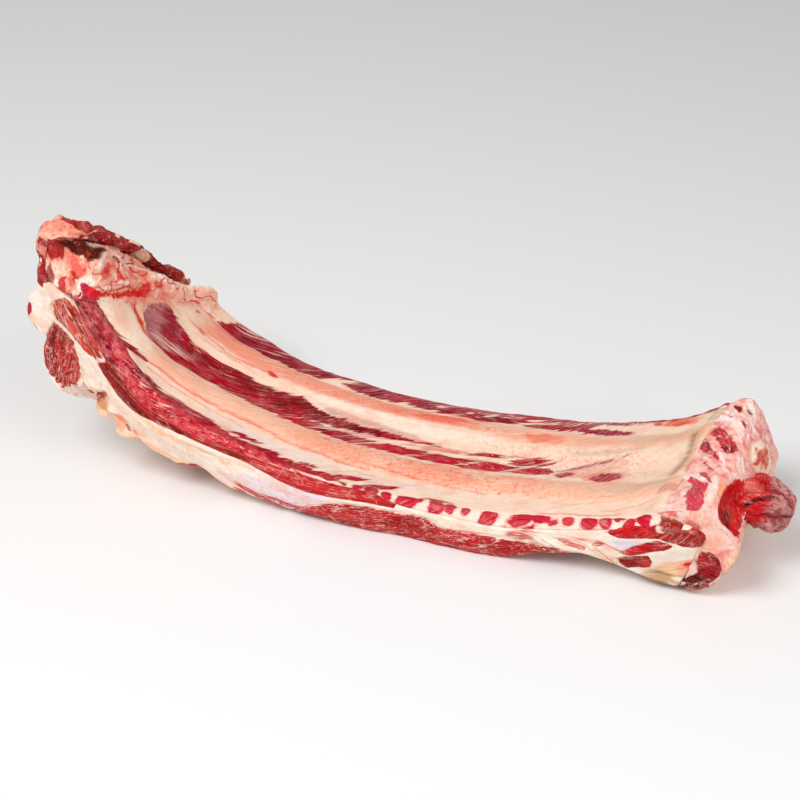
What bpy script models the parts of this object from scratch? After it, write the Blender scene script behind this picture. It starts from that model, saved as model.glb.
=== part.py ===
"""Raw rack of two beef ribs lying on its meat side, bone side up.

Lengths are metres, +Z is up and the floor is at z = 0.  The rack runs along X
from the backbone end (-X) to the breast end (+X), and the near cut side is at
-Y.  Every piece is drawn on one bent sheet: s runs along the bone-side arc, y
across it and d straight down into the meat.
"""
import math

import bmesh
import bpy
import numpy as np

MM = 0.001

# the bone-side arc, seen from the near side: x and z in mm
ARC_KNOTS = ((-240, 262), (-233, 238), (-226, 195), (-215, 165), (-196, 125), (-165, 85), (-111, 56),
             (-50, 40), (20, 36), (96, 39.5), (168, 52), (206, 65), (240, 90), (268, 125), (290, 170))
ARC_ZERO = 2            # s is 0 at this knot
FRONT = -57.0           # near edge of the bone side
REAR = 64.0             # far edge of the bone side
BULGE = 7.0             # how far the cut sides stand out below the edges
GAP = 0.25              # half the space left between two pieces
CLEAR = 0.9             # space round a strand inside the fat
FLOOR = 0.0
BELLY = 5.5             # the outside of the rack is this much deeper in the middle than at the cut sides

# skewed ends: the backbone crosses the ribs at a slant
LEFT_S = 27.0
LEFT_SKEW = 97.0 / 133.0
RIGHT_S = 508.0
RIGHT_KNOTS = ((-64, 0), (-43, 7), (-20, 14), (0, 19), (35, 27), (66, 37))
END_EDGE = ((508, 9.2), (521, 13), (531, 19), (533, 25), (523, 38), (514, 50), (506, 61))

# strip borders on the bone side: s, y
RIB1_NEAR = ((20, -56), (67, -54), (91, -51), (116, -44), (150, -39), (200, -36), (260, -36), (330, -38),
             (410, -39), (545, -38))
RIB1_FAR = ((30, -26), (105, -24), (144, -17), (190, -12), (273, -12), (354, -15), (430, -15), (545, -18))
RIB2_NEAR = ((60, 2), (120, 6), (157, 13), (205, 20), (290, 20), (376, 16), (450, 14), (545, 10))
RIB2_FAR = ((100, 48), (160, 46), (224, 49), (300, 48), (390, 49), (457, 45), (560, 46))
RIB_CREST = 2.4
STRIP_DIP = 1.6
RIB_SWELL = 3.2         # a rib is wider below the surface than on it

# layers on the near cut, depth below the bone side against s
INNER_BASE = ((20, 9), (33, 13), (61, 16), (96, 13.5), (113, 17), (135, 12), (165, 12), (200, 8), (240, 7),
              (303, 7), (356, 8), (426, 10), (467, 8), (545, 9))
COVER_BASE = ((60, 21), (94, 26), (125, 25.5), (151, 18), (196, 15), (250, 13), (285, 11.5), (318, 9.6))
OUTER_TOP = ((236, 34), (262, 24), (285, 17), (320, 14.5), (353, 21), (380, 17), (405, 19), (425, 23), (452, 27))
BASE = ((60, 40), (95, 47), (112, 54), (128, 50), (160, 47), (200, 42), (250, 37), (300, 36), (350, 38), (400, 37),
        (424, 32), (445, 33), (470, 42), (497, 56), (520, 64), (545, 60))

# stations along the ribs for the strips and layers, and places across for the layers and end pieces
SIGMA = np.r_[26.5, np.arange(36, 500, 14.5), 506.6]
ACROSS = np.array([0.0, 0.04, 0.15, 0.29, 0.43, 0.57, 0.71, 0.85, 0.96, 1.0])

# the rounded start of the fat at the backbone end
FAT_LOBE = ((77, 41), (74, 36), (73, 29), (76, 23))

# strands of meat inside the fat of the breast end: near-side s, depth
BREAST_UPPER = ((473, 10.6), (488, 11), (506, 11.5), (518, 14), (528, 20), (528, 26), (517, 24), (500, 19),
                (484, 15), (473, 13.5))
BREAST_LOWER = ((480, 27), (489, 23), (501, 22.5), (514, 26), (514, 30), (500, 31.5), (487, 31))
BREAST_CHUNK = ((477, 38), (482, 34), (496, 34.5), (500, 39), (496, 43), (482, 43))

# backbone end: near-side s, depth
CHINE_BONE = ((25, -3), (12, -8), (-2, -7), (-17, -3), (-19, 9), (-14, 21), (0, 26), (14, 26), (15, 14), (25, 13))
CHINE_MEAT = ((-18, -5), (-21, -13), (-28, -14), (-33, -2), (-33, 13), (-25, 23), (-12, 30), (2, 33), (14, 33),
              (14, 28), (0, 28), (-15, 23), (-21, 9))
CHINE_FAT = ((16, 34), (16, 16), (28, 15), (30, 32), (36, 39.5), (46, 40), (46, 50), (39, 60), (27, 62), (14, 54),
             (9, 43))
LOIN_MUSCLE = ((31, 20), (35, 15.5), (46, 17), (60, 18.5), (68, 20), (69, 29), (61, 30), (53, 33), (46, 37.5),
               (37, 37.5), (32, 31))
LOIN_FLAP = ((47, 42), (53, 36), (61, 32.5), (67, 33), (71, 41), (81, 48), (88, 57), (88, 66), (84, 74), (77, 74),
             (68, 71), (59, 65), (51, 55))

# breast end, sections in x and z at five places across
END_ACROSS = (-64, -32, 0, 32, 66)
END_TOP = ((226, 76), (238, 82), (238, 85), (242, 90), (247, 93))
END_SHOULDER = ((246, 70), (254, 72), (256, 76), (257, 82), (258, 83))
END_FACE = ((261, 59), (263, 56), (266, 60), (268, 64), (267, 64))
END_BULGE = ((269, 48), (266, 38), (268, 40), (275, 45), (275, 44))
END_LOW = ((262, 28), (261, 19), (262, 20), (271, 22), (272, 20))
END_FOOT = ((250, 11), (251, 3), (250, 2), (260, 4), (262, 5))
END_SOLE = ((236, 4), (236, 0), (234, 0), (244, 0), (246, 0))

# the dried meat standing out of the breast end
DRY_CENTRE = (272, -5, 50)
DRY_SIZE = (23, 21, 18.5)

# the dark meat at its lower near corner: near-side s, depth
CORNER_MEAT = ((525, 42), (531, 46), (531, 55), (525, 62), (516, 66), (511, 63), (518, 52))

MATERIALS = {
    "bone": (0.80, 0.55, 0.42, 0.45),
    "membrane_meat": (0.42, 0.05, 0.07, 0.40),
    "lean_meat": (0.45, 0.06, 0.06, 0.42),
    "dark_meat": (0.26, 0.05, 0.05, 0.50),
    "fat": (0.86, 0.74, 0.62, 0.42),
    "cartilage": (0.84, 0.60, 0.56, 0.42),
}


def hermite(knots, at):
    """Smooth curve through the knots, read at the given places, flat beyond the last slope."""
    knots = np.asarray(knots, float)
    x, y = knots[:, 0], knots[:, 1]
    step = np.diff(x)
    slope = np.diff(y) / step
    tangent = np.empty_like(y)
    tangent[1:-1] = (slope[:-1] * step[1:] + slope[1:] * step[:-1]) / (step[:-1] + step[1:])
    tangent[0] = slope[0]
    tangent[-1] = slope[-1]
    at = np.clip(np.asarray(at, float), x[0], x[-1])
    i = np.clip(np.searchsorted(x, at, side="right") - 1, 0, len(step) - 1)
    u = (at - x[i]) / step[i]
    h = step[i]
    return ((1 + 2 * u) * (1 - u) ** 2 * y[i] + u * (1 - u) ** 2 * h * tangent[i]
            + u * u * (3 - 2 * u) * y[i + 1] + u * u * (u - 1) * h * tangent[i + 1])


def arc_table():
    """Arc length, x, z and the unit normal of the bone-side arc at close steps."""
    knots = np.asarray(ARC_KNOTS, float)
    along = np.r_[0, np.cumsum(np.sqrt(np.linalg.norm(np.diff(knots, axis=0), axis=1)))]
    dense = np.linspace(0, along[-1], 4001)
    x = hermite(np.c_[along, knots[:, 0]], dense)
    z = hermite(np.c_[along, knots[:, 1]], dense)
    s = np.r_[0, np.cumsum(np.hypot(np.diff(x), np.diff(z)))]
    s = s - np.interp(along[ARC_ZERO], dense, s)
    tx = np.gradient(x, s)
    tz = np.gradient(z, s)
    size = np.hypot(tx, tz)
    return s, x, z, -tz / size, tx / size


ARC = arc_table()


def ease(a, b, x):
    u = np.clip((np.asarray(x, float) - a) / (b - a), 0, 1)
    return u * u * (3 - 2 * u)


def skewed(sigma, y, d=0.0):
    """True arc length of a place named by its arc length at the near side."""
    w = np.clip((sigma - LEFT_S) / (RIGHT_S - LEFT_S), 0, 1)
    left = (y + 64.0) * LEFT_SKEW
    right = hermite(RIGHT_KNOTS, y) * (1 - ease(9, 50, d))
    beyond = np.maximum(sigma - RIGHT_S, 0) * 0.5 * ease(-64, 66, y)
    return sigma + (1 - w) * left + w * right - beyond


def edge_near(d):
    """y of the near cut side at a depth: it bulges below the bone-side edge and rounds in at the bottom."""
    return FRONT - BULGE * ease(-2, 9, d) + 5.0 * ease(24, 46, d)


def edge_far(d):
    return REAR + 4.0 * ease(-2, 9, d) - 6.0 * ease(22, 46, d)


def waves(s, y, d):
    """Slow unevenness of the whole rack, in mm."""
    a = np.sin(s / 23.0 + 0.9) * np.sin(y / 21.0 + d / 23.0) + 0.6 * np.sin(s / 15.0 + y / 27.0 + 2.0)
    b = np.sin(s / 19.0 + 0.3) + 0.5 * np.sin(s / 12.0 + d / 13.0)
    return a, b


def place(s, y, d):
    """Points of the bent sheet in metres, kept off the floor."""
    s, y, d = np.broadcast_arrays(np.asarray(s, float), np.asarray(y, float), np.asarray(d, float))
    a, b = waves(s, y, d)
    side = np.clip(np.abs(y) / 64.0, 0, 1)
    ends = 1 + 1.6 * ease(90, 20, s) + 1.2 * ease(505, 560, s)
    y = y + np.sign(y) * b * side ** 6 * ends
    d = d + 0.9 * a * ends * ease(8, 40, d) + BELLY * ease(22, 36, d) * (1 - side ** 3)
    x0 = np.interp(s, ARC[0], ARC[1])
    z0 = np.interp(s, ARC[0], ARC[2])
    nx = np.interp(s, ARC[0], ARC[3])
    nz = np.interp(s, ARC[0], ARC[4])
    return np.stack([x0 - nx * d, y, np.maximum(z0 - nz * d, FLOOR)], -1) * MM


def closed_mesh(name, rings, material):
    """Skin over a row of rings of equal length, with both ends capped."""
    rings = np.asarray(rings, float)
    stations, count = rings.shape[:2]
    bm = bmesh.new()
    verts = [bm.verts.new(p) for p in rings.reshape(-1, 3)]
    for j in range(stations - 1):
        for i in range(count):
            k = (i + 1) % count
            quad = (verts[j * count + i], verts[j * count + k], verts[(j + 1) * count + k], verts[(j + 1) * count + i])
            bm.faces.new(quad)
    bm.faces.new(verts[:count][::-1])
    bm.faces.new(verts[-count:])
    bmesh.ops.remove_doubles(bm, verts=bm.verts, dist=1e-6)
    bmesh.ops.triangulate(bm, faces=bm.faces, quad_method="BEAUTY", ngon_method="BEAUTY")
    bmesh.ops.recalc_face_normals(bm, faces=bm.faces)
    if bm.calc_volume(signed=True) < 0:
        bmesh.ops.reverse_faces(bm, faces=bm.faces)
    mesh = bpy.data.meshes.new(name)
    bm.to_mesh(mesh)
    bm.free()
    obj = bpy.data.objects.new(name, mesh)
    bpy.context.scene.collection.objects.link(obj)
    if material:
        red, green, blue, rough = MATERIALS[material]
        mat = bpy.data.materials.new(name)
        mat.use_nodes = True
        shader = mat.node_tree.nodes["Principled BSDF"]
        shader.inputs["Base Color"].default_value = (red, green, blue, 1)
        shader.inputs["Roughness"].default_value = rough
        shader.inputs["Metallic"].default_value = 0.0
        mesh.materials.append(mat)
    return obj


def cut(obj, tools):
    """Take the tools' shapes out of the object."""
    for tool in tools:
        mod = obj.modifiers.new("cut", "BOOLEAN")
        mod.operation = "DIFFERENCE"
        mod.solver = "EXACT"
        mod.object = tool
        bpy.context.view_layer.update()
        graph = bpy.context.evaluated_depsgraph_get()
        mesh = bpy.data.meshes.new_from_object(obj.evaluated_get(graph))
        obj.modifiers.clear()
        old = obj.data
        obj.data = mesh
        mesh.name = obj.name
        bpy.data.meshes.remove(old)
        bm = bmesh.new()
        bm.from_mesh(obj.data)
        bmesh.ops.remove_doubles(bm, verts=bm.verts, dist=2e-5)
        bmesh.ops.dissolve_degenerate(bm, edges=bm.edges, dist=2e-5)
        bmesh.ops.triangulate(bm, faces=bm.faces)
        bm.to_mesh(obj.data)
        bm.free()
    for tool in tools:
        bpy.data.objects.remove(tool, do_unlink=True)


def border(knots, sigma, d, swell):
    """y of a strip border at each near-side station, wider than the surface line by the rib's swell."""
    y = np.full_like(sigma, float(np.mean([k[1] for k in knots])))
    for _ in range(6):
        y = hermite(knots, skewed(sigma, y))
    return y[:, None] + swell * np.sin(np.pi * np.clip(d / 13.0, 0, 1)) ** 0.8


def inner_base(sigma):
    return hermite(INNER_BASE, sigma)


def strip(name, material, near, far, crest, near_swell, far_swell):
    """One rib or one strip of meat; near and far are border knots or None for the cut sides."""
    sigma = SIGMA
    base = inner_base(sigma)[:, None]
    levels = np.array([0.0, 0.3, 0.62, 1.0])
    depth = levels * base
    if near is None:
        y_near = edge_near(depth - 1.0)
    else:
        y_near = border(near, sigma, levels[None, :] * 13.0, near_swell) + GAP
    if far is None:
        y_far = edge_far(depth - 1.0)
    else:
        y_far = border(far, sigma, levels[None, :] * 13.0, far_swell) - GAP
    across = np.array([0.25, 0.5, 0.75])
    top_y = y_near[:, :1] * (1 - across) + y_far[:, :1] * across
    top_d = -crest * (1 - (2 * across - 1) ** 2) * np.ones_like(top_y)
    low_y = y_near[:, -1:] * across + y_far[:, -1:] * (1 - across)
    low_d = (base - GAP) * np.ones_like(low_y)
    depth = depth.copy()
    depth[:, -1] -= GAP
    y = np.concatenate([top_y, y_far, low_y, y_near[:, ::-1]], 1)
    d = np.concatenate([top_d, depth, low_d, depth[:, ::-1]], 1)
    return closed_mesh(name, place(skewed(sigma[:, None], y, d), y, d), material)


def knobbed(outline, f, knobs, round_off):
    """The outline of an end piece at one place across: lumps on its outer side, and domed cut sides."""
    shape = outline.copy()
    from_bone = outline - np.array([3.0, 11.0])
    reach = np.linalg.norm(from_bone, axis=1)
    turn = np.arctan2(from_bone[:, 1], from_bone[:, 0])
    lift = knobs * ease(29, 36, reach) * (np.sin(9.0 * f + 2.0 * turn) + 0.6 * np.sin(21.0 * f - 3.0 * turn + 1))
    swell = knobs * 1.2 * ease(3, -5, outline[:, 1]) * ease(28, 20, reach) * np.abs(np.sin(7.2 * f + 0.5))
    shape += from_bone / reach[:, None] * (lift + swell)[:, None]
    middle = shape.mean(0)
    return middle + (shape - middle) * (1 - round_off * (ease(0.14, 0, f) ** 2 + ease(0.86, 1, f) ** 2))


def through(name, material, outline, start=0.0, stop=1.0, grow=0.0, overrun=0.0, knobs=0.0, round_off=0.0):
    """A piece with one outline in (near-side s, d) that runs across the rack from start to stop."""
    outline = np.asarray(outline, float)
    if grow:
        step = np.roll(outline, -1, 0) - np.roll(outline, 1, 0)
        area = np.sum(outline[:, 0] * np.roll(outline[:, 1], -1) - outline[:, 1] * np.roll(outline[:, 0], -1))
        out = np.c_[step[:, 1], -step[:, 0]] * np.sign(area)
        outline = outline + grow * out / np.linalg.norm(out, axis=1)[:, None]
    part = start + (stop - start) * ACROSS
    if overrun:
        part = np.r_[part[0] - overrun, part, part[-1] + overrun]
    rings = []
    for f, own in zip(part, np.clip((part - start) / (stop - start), 0, 1)):
        shape = knobbed(outline, own, knobs, round_off)
        y = edge_near(outline[:, 1]) * (1 - f) + edge_far(outline[:, 1]) * f
        at, deep = chine_slope(shape[:, 0], shape[:, 1], f)
        rings.append(place(skewed(at, y, deep), y, deep))
    return closed_mesh(name, rings, material)


def chine_slope(sigma, d, f):
    """The backbone end is lower and set farther down at the far side."""
    far = ease(0.3, 1.0, f)
    above = np.maximum(LEFT_S - sigma, 0)
    at = np.where(above > 0, LEFT_S - above * (1 - 0.42 * far), sigma)
    return at, d + 15.0 * far * ease(14, 40, above)


def rounded(points, times=1):
    """Corner cutting of a closed outline."""
    points = np.asarray(points, float)
    for _ in range(times):
        after = np.roll(points, -1, 0)
        points = np.stack([points * 0.75 + after * 0.25, points * 0.25 + after * 0.75], 1).reshape(-1, 2)
    return points


def end_edge(way):
    """The end of the layers as (near-side s, d) points, moved off the true line to one side."""
    edge = np.array(END_EDGE, float)
    top = edge[:, 1] < 22
    edge[:, 0] += way * GAP * np.where(top, 1.0, 1.6)
    edge[:, 1] -= way * GAP * top
    return edge


def layers():
    grid = SIGMA[SIGMA > 70]
    # dark thin muscle right under the ribs, running out to a thin edge
    cover = grid[grid < 318]
    top = np.c_[cover, inner_base(cover) + GAP]
    low = np.c_[cover, np.maximum(hermite(COVER_BASE, cover) - GAP, inner_base(cover) + GAP + 1.0)]
    through("cover_muscle", "lean_meat", np.r_[top, low[::-1]])
    # meat on the outside of the rack
    outer = grid[(grid > 240) & (grid < 455)]
    top = np.c_[outer, hermite(OUTER_TOP, outer) + GAP]
    base = hermite(BASE, outer)
    low = np.c_[outer, np.maximum(base, top[:, 1] + 2.0)]
    through("outer_muscle", "lean_meat", np.r_[top, low[::-1]])
    # fat between and below them
    bottom = hermite(BASE, grid)
    inside = (grid > 240) & (grid < 455)
    bottom = np.where(inside, hermite(OUTER_TOP, grid) - GAP, bottom)
    upper = np.where(grid < 318, np.maximum(hermite(COVER_BASE, grid), inner_base(grid) + 1.0 + 2 * GAP) + GAP,
                     inner_base(grid) + GAP)
    top = np.c_[grid, upper][grid < 505]
    low = np.c_[grid, bottom][grid < 500]
    fat = through("fat_cover", "fat", np.r_[top, end_edge(-1), low[::-1], FAT_LOBE])
    return fat


def end_section(knots, y):
    x = hermite([(a, k[0]) for a, k in zip(END_ACROSS, knots)], y)
    z = hermite([(a, k[1]) for a, k in zip(END_ACROSS, knots)], y)
    return np.stack([x, y + 0 * x, z], -1) * MM


def brisket_end():
    column = np.r_[[(508 + GAP, -1.0)], end_edge(1)]
    rings = []
    for f in ACROSS:
        y = edge_near(column[:, 1]) * (1 - f) + edge_far(column[:, 1]) * f
        left = place(skewed(column[:, 0], y, column[:, 1]), y, column[:, 1])
        y = -62.0 * (1 - f) + 66.0 * f
        outer = [end_section(k, np.array(y)) for k in (END_SOLE, END_FOOT, END_LOW, END_BULGE, END_FACE,
                                                        END_SHOULDER, END_TOP)]
        rings.append(np.concatenate([left, outer]))
    return closed_mesh("brisket_end", rings, "cartilage")


def lump(name, material, centre, size, grow=0.0, rows=9, cols=14):
    """A knobbly ball in world millimetres."""
    centre = np.asarray(centre, float)
    rings = []
    for a in np.linspace(-1, 1, rows) * 0.96 * math.pi / 2:
        turn = np.arange(cols) * 2 * math.pi / cols
        unit = np.stack([np.cos(a) * np.cos(turn), np.cos(a) * np.sin(turn), np.sin(a) + 0 * turn], -1)
        knob = 1 + 0.07 * np.sin(3 * turn + 4 * a) + 0.05 * np.sin(5 * turn - 3 * a + 1)
        rings.append(centre + unit * (np.asarray(size, float) * knob[:, None] + grow))
    return closed_mesh(name, np.array(rings) * MM, material)


def main():
    for obj in list(bpy.data.objects):
        bpy.data.objects.remove(obj, do_unlink=True)
    strip("rib_front", "bone", RIB1_NEAR, RIB1_FAR, RIB_CREST, -RIB_SWELL, RIB_SWELL)
    strip("rib_rear", "bone", RIB2_NEAR, RIB2_FAR, RIB_CREST, -RIB_SWELL, RIB_SWELL)
    strip("intercostal_front", "membrane_meat", None, RIB1_NEAR, -0.4, 0, -RIB_SWELL)
    strip("intercostal_middle", "membrane_meat", RIB1_FAR, RIB2_NEAR, -STRIP_DIP, RIB_SWELL, -RIB_SWELL)
    strip("intercostal_rear", "membrane_meat", RIB2_FAR, None, -0.4, RIB_SWELL, 0)
    fat = layers()
    strands = (("breast_muscle_upper", BREAST_UPPER), ("breast_muscle_lower", BREAST_LOWER),
               ("breast_muscle_chunk", BREAST_CHUNK))
    tools = []
    for name, outline in strands:
        shape = rounded(outline)
        through(name, "lean_meat", shape)
        tools.append(through(name + "_cutter", None, shape, grow=CLEAR, overrun=0.06))
    cut(fat, tools)
    through("chine_bone", "bone", rounded(CHINE_BONE), knobs=2.6, round_off=0.16)
    through("chine_meat", "dark_meat", rounded(CHINE_MEAT), knobs=2.6, round_off=0.06)
    through("chine_fat", "fat", rounded(CHINE_FAT), round_off=0.16)
    through("loin_muscle", "lean_meat", rounded(LOIN_MUSCLE), round_off=0.12)
    through("loin_flap", "lean_meat", rounded(LOIN_FLAP), stop=0.42, round_off=0.18)
    end = brisket_end()
    lump("brisket_meat", "dark_meat", DRY_CENTRE, DRY_SIZE)
    corner = rounded(CORNER_MEAT)
    through("brisket_corner_meat", "dark_meat", corner)
    cut(end, [lump("dry_cutter", None, DRY_CENTRE, DRY_SIZE, grow=2 * GAP),
              through("corner_cutter", None, corner, grow=CLEAR, overrun=0.06)])


main()
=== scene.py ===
import math

import bpy
import numpy as np
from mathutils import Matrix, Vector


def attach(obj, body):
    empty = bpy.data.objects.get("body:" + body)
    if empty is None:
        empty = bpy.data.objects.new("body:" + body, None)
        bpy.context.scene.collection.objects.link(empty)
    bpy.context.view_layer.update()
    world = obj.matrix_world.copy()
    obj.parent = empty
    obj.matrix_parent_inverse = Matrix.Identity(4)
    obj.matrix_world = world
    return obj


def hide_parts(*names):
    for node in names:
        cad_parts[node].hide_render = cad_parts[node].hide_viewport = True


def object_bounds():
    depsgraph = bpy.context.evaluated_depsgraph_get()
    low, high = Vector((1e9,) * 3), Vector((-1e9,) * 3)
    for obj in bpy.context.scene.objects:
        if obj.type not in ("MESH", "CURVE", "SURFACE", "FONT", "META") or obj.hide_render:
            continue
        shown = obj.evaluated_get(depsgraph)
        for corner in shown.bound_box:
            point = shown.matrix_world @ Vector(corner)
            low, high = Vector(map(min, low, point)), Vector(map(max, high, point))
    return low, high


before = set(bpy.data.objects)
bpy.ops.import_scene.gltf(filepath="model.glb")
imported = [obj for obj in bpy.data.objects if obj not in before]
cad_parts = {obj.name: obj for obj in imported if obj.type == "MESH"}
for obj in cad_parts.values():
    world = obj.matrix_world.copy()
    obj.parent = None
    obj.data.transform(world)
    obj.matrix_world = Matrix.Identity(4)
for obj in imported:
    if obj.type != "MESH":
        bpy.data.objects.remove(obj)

# Raw rack of two beef ribs lying bone side up, backbone end at the left.
# Every piece is drawn on the bent sheet that the solids use: s runs along the bone side,
# y across it and d down into the meat, all in mm.  "near" is the cut side that faces the camera.

cad_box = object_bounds()
MM = 0.001

# the bone-side arc, seen from the near side
ARC_KNOTS = (
    (-240, 262), (-233, 238), (-226, 195), (-215, 165), (-196, 125), (-165, 85), (-111, 56), (-50, 40),
    (20, 36), (96, 39.5), (168, 52), (206, 65), (240, 90), (268, 125), (290, 170))
ARC_ZERO = 2
HALF = 64.0
FRONT = -57.0
REAR = 64.0
BULGE = 7.0
BELLY = 5.5
LEFT_S = 27.0
LEFT_SKEW = 97.0 / 133.0
RIGHT_S = 508.0
RIGHT_KNOTS = ((-64, 0), (-43, 7), (-20, 14), (0, 19), (35, 27), (66, 37))
END_EDGE = ((508, 9.2), (521, 13), (531, 19), (533, 25), (523, 38), (514, 50), (506, 61))

# strip borders on the bone side: s, y
RIB1_NEAR = (
    (20, -56), (67, -54), (91, -51), (116, -44), (150, -39), (200, -36), (260, -36), (330, -38),
    (410, -39), (545, -38))
RIB1_FAR = ((30, -26), (105, -24), (144, -17), (190, -12), (273, -12), (354, -15), (430, -15), (545, -18))
RIB2_NEAR = ((60, 2), (120, 6), (157, 13), (205, 20), (290, 20), (376, 16), (450, 14), (545, 10))
RIB2_FAR = ((100, 48), (160, 46), (224, 49), (300, 48), (390, 49), (457, 45), (560, 46))

# layers of the cut side: depth against s
INNER_BASE = (
    (20, 9), (33, 13), (61, 16), (87, 17.2), (100, 16.3), (113, 18.5), (133, 14), (150, 11.2), (163, 9.8),
    (187, 7.2), (210, 5.2), (240, 3.4), (270, 3.0), (303, 3.8), (318, 6.5), (335, 8), (356, 8), (426, 10),
    (467, 8), (545, 9))
COVER_BASE = (
    (60, 21), (94, 26), (113, 27.5), (127, 24), (140, 18), (153, 14.6), (170, 12.2), (187, 11.5),
    (203, 10.4), (220, 11.3), (237, 12.5), (253, 13.2), (270, 12), (290, 10.2), (318, 9.4))
OUTER_TOP = (
    (236, 35.8), (242, 35.2), (246, 33), (252, 28), (262, 21.5), (277, 15.5), (290, 12.8), (320, 12.5),
    (343, 13), (352, 18), (362, 17.5), (380, 16.5), (395, 18), (405, 20), (425, 23), (435, 25),
    (446, 28.5))
BASE = (
    (60, 40), (95, 47), (102, 49), (106, 54.5), (111, 55), (114.5, 48), (117, 48), (120, 55), (126, 56),
    (129, 49), (135, 46.5), (143, 48.5), (152, 47.5), (158, 47.5), (166, 42.5), (175, 38), (186, 41),
    (197, 42), (204, 39.5), (214, 38.5), (228, 37.5), (245, 36), (258, 35), (270, 35.5), (300, 36),
    (350, 38), (400, 36.5), (413, 33), (423, 30.5), (437, 31), (446, 30), (453, 30), (463, 34.5),
    (480, 44), (490, 50), (497, 56), (520, 64), (545, 60))
COVER_END = 318
OUTER_SPAN = (242, 446)


def hermite(knots, at):
    """Smooth curve through the knots: a cubic per span, with slopes shared by neighbouring spans."""
    x, y = np.asarray(knots, float).T
    step = np.diff(x)
    slope = np.diff(y) / step
    tangent = np.empty_like(y)
    tangent[1:-1] = (slope[:-1] * step[1:] + slope[1:] * step[:-1]) / (step[:-1] + step[1:])
    tangent[0] = slope[0]
    tangent[-1] = slope[-1]
    at = np.clip(np.asarray(at, float), x[0], x[-1])
    i = np.clip(np.searchsorted(x, at, side="right") - 1, 0, len(step) - 1)
    h = step[i]
    u = (at - x[i]) / h
    return ((1 + 2 * u) * (1 - u) ** 2 * y[i] + u * (1 - u) ** 2 * h * tangent[i]
            + u * u * (3 - 2 * u) * y[i + 1] + u * u * (u - 1) * h * tangent[i + 1])


def arc_table():
    """Arc length, x, z and the unit normal of the bone-side arc at close steps."""
    knots = np.asarray(ARC_KNOTS, float)
    along = np.r_[0, np.cumsum(np.sqrt(np.linalg.norm(np.diff(knots, axis=0), axis=1)))]
    dense = np.linspace(0, along[-1], 4001)
    x = hermite(np.c_[along, knots[:, 0]], dense)
    z = hermite(np.c_[along, knots[:, 1]], dense)
    s = np.r_[0, np.cumsum(np.hypot(np.diff(x), np.diff(z)))]
    s = s - np.interp(along[ARC_ZERO], dense, s)
    tx = np.gradient(x, s)
    tz = np.gradient(z, s)
    size = np.hypot(tx, tz)
    return s, x, z, -tz / size, tx / size


ARC = arc_table()


def ease(a, b, x):
    """Nought before a, one after b, smooth between."""
    u = np.clip((np.asarray(x, float) - a) / (b - a), 0, 1)
    return u * u * (3 - 2 * u)


def skewed(sigma, y, d=0.0):
    """True arc length of a place named by its arc length at the near side."""
    w = np.clip((sigma - LEFT_S) / (RIGHT_S - LEFT_S), 0, 1)
    left = (y + HALF) * LEFT_SKEW
    right = hermite(RIGHT_KNOTS, y) * (1 - ease(9, 50, d))
    beyond = np.maximum(sigma - RIGHT_S, 0) * 0.5 * ease(-HALF, 66, y)
    return sigma + (1 - w) * left + w * right - beyond


def edge_near(d):
    """y of the near cut side at a depth: it bulges below the bone-side edge and rounds in at the bottom."""
    return FRONT - BULGE * ease(-2, 9, d) + 5.0 * ease(24, 46, d)


def edge_far(d):
    """y of the far cut side at a depth."""
    return REAR + 4.0 * ease(-2, 9, d) - 6.0 * ease(22, 46, d)


def across(d, f):
    """y at a depth and a share of the way from the near cut side to the far one."""
    return edge_near(d) * (1 - f) + edge_far(d) * f


def place(s, y, d):
    """Points of the bent sheet in mm, kept off the floor: a step of d down the arc's normal.

    The whole rack is uneven by slow sums of sines in s, y and d.
    """
    s, y, d = np.broadcast_arrays(np.asarray(s, float), np.asarray(y, float), np.asarray(d, float))
    a = np.sin(s / 23.0 + 0.9) * np.sin(y / 21.0 + d / 23.0) + 0.6 * np.sin(s / 15.0 + y / 27.0 + 2.0)
    b = np.sin(s / 19.0 + 0.3) + 0.5 * np.sin(s / 12.0 + d / 13.0)
    side = np.clip(np.abs(y) / HALF, 0, 1)
    ends = 1 + 1.6 * ease(90, 20, s) + 1.2 * ease(505, 560, s)
    y = y + np.sign(y) * b * side ** 6 * ends
    d = d + 0.9 * a * ends * ease(8, 40, d) + BELLY * ease(22, 36, d) * (1 - side ** 3)
    x0, z0, nx, nz = (np.interp(s, ARC[0], column) for column in ARC[1:])
    return np.stack([x0 - nx * d, y, np.maximum(z0 - nz * d, 0.0)], -1)


# random values


def lattice(q, seed):
    """Random values from -1 to 1 at whole-number places, blended smoothly between them."""
    cell = np.floor(q)
    t = q - cell
    t = t * t * (3 - 2 * t)
    cell = cell.astype(np.int64).astype(np.uint64)
    total = np.zeros(q.shape[:-1])
    mask = np.uint64(0xFFFFFFFF)
    primes = np.array([73856093, 19349663, 83492791], np.uint64)
    for corner in range(8):
        step = np.array([corner & 1, corner >> 1 & 1, corner >> 2 & 1])
        h = np.bitwise_xor.reduce((cell + step.astype(np.uint64)) * primes, axis=-1)
        h = (h + np.uint64(seed * 7919 + 101)) & mask
        for shift, by in ((15, 2246822519), (13, 3266489917)):
            h = ((h ^ (h >> np.uint64(shift))) * np.uint64(by)) & mask
        h = h ^ (h >> np.uint64(16))
        weight = np.prod(np.where(step == 1, t, 1 - t), axis=-1)
        total = total + weight * (h.astype(float) / 2147483648.0 - 1)
    return total


def grain(p, size, seed=0, layers=3):
    """Smooth random value, about -1 to 1, at points p in mm; size is the width of its largest spots."""
    q = np.asarray(p, float) / np.asarray(size, float)
    total = 0.0
    for k in range(layers):
        total = total + 0.5 ** k * lattice(q * 2 ** k + 17.31 * k, seed + 31 * k)
    return total * 0.85


# painting: colours are triples of screen values, 0 to 255

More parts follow.
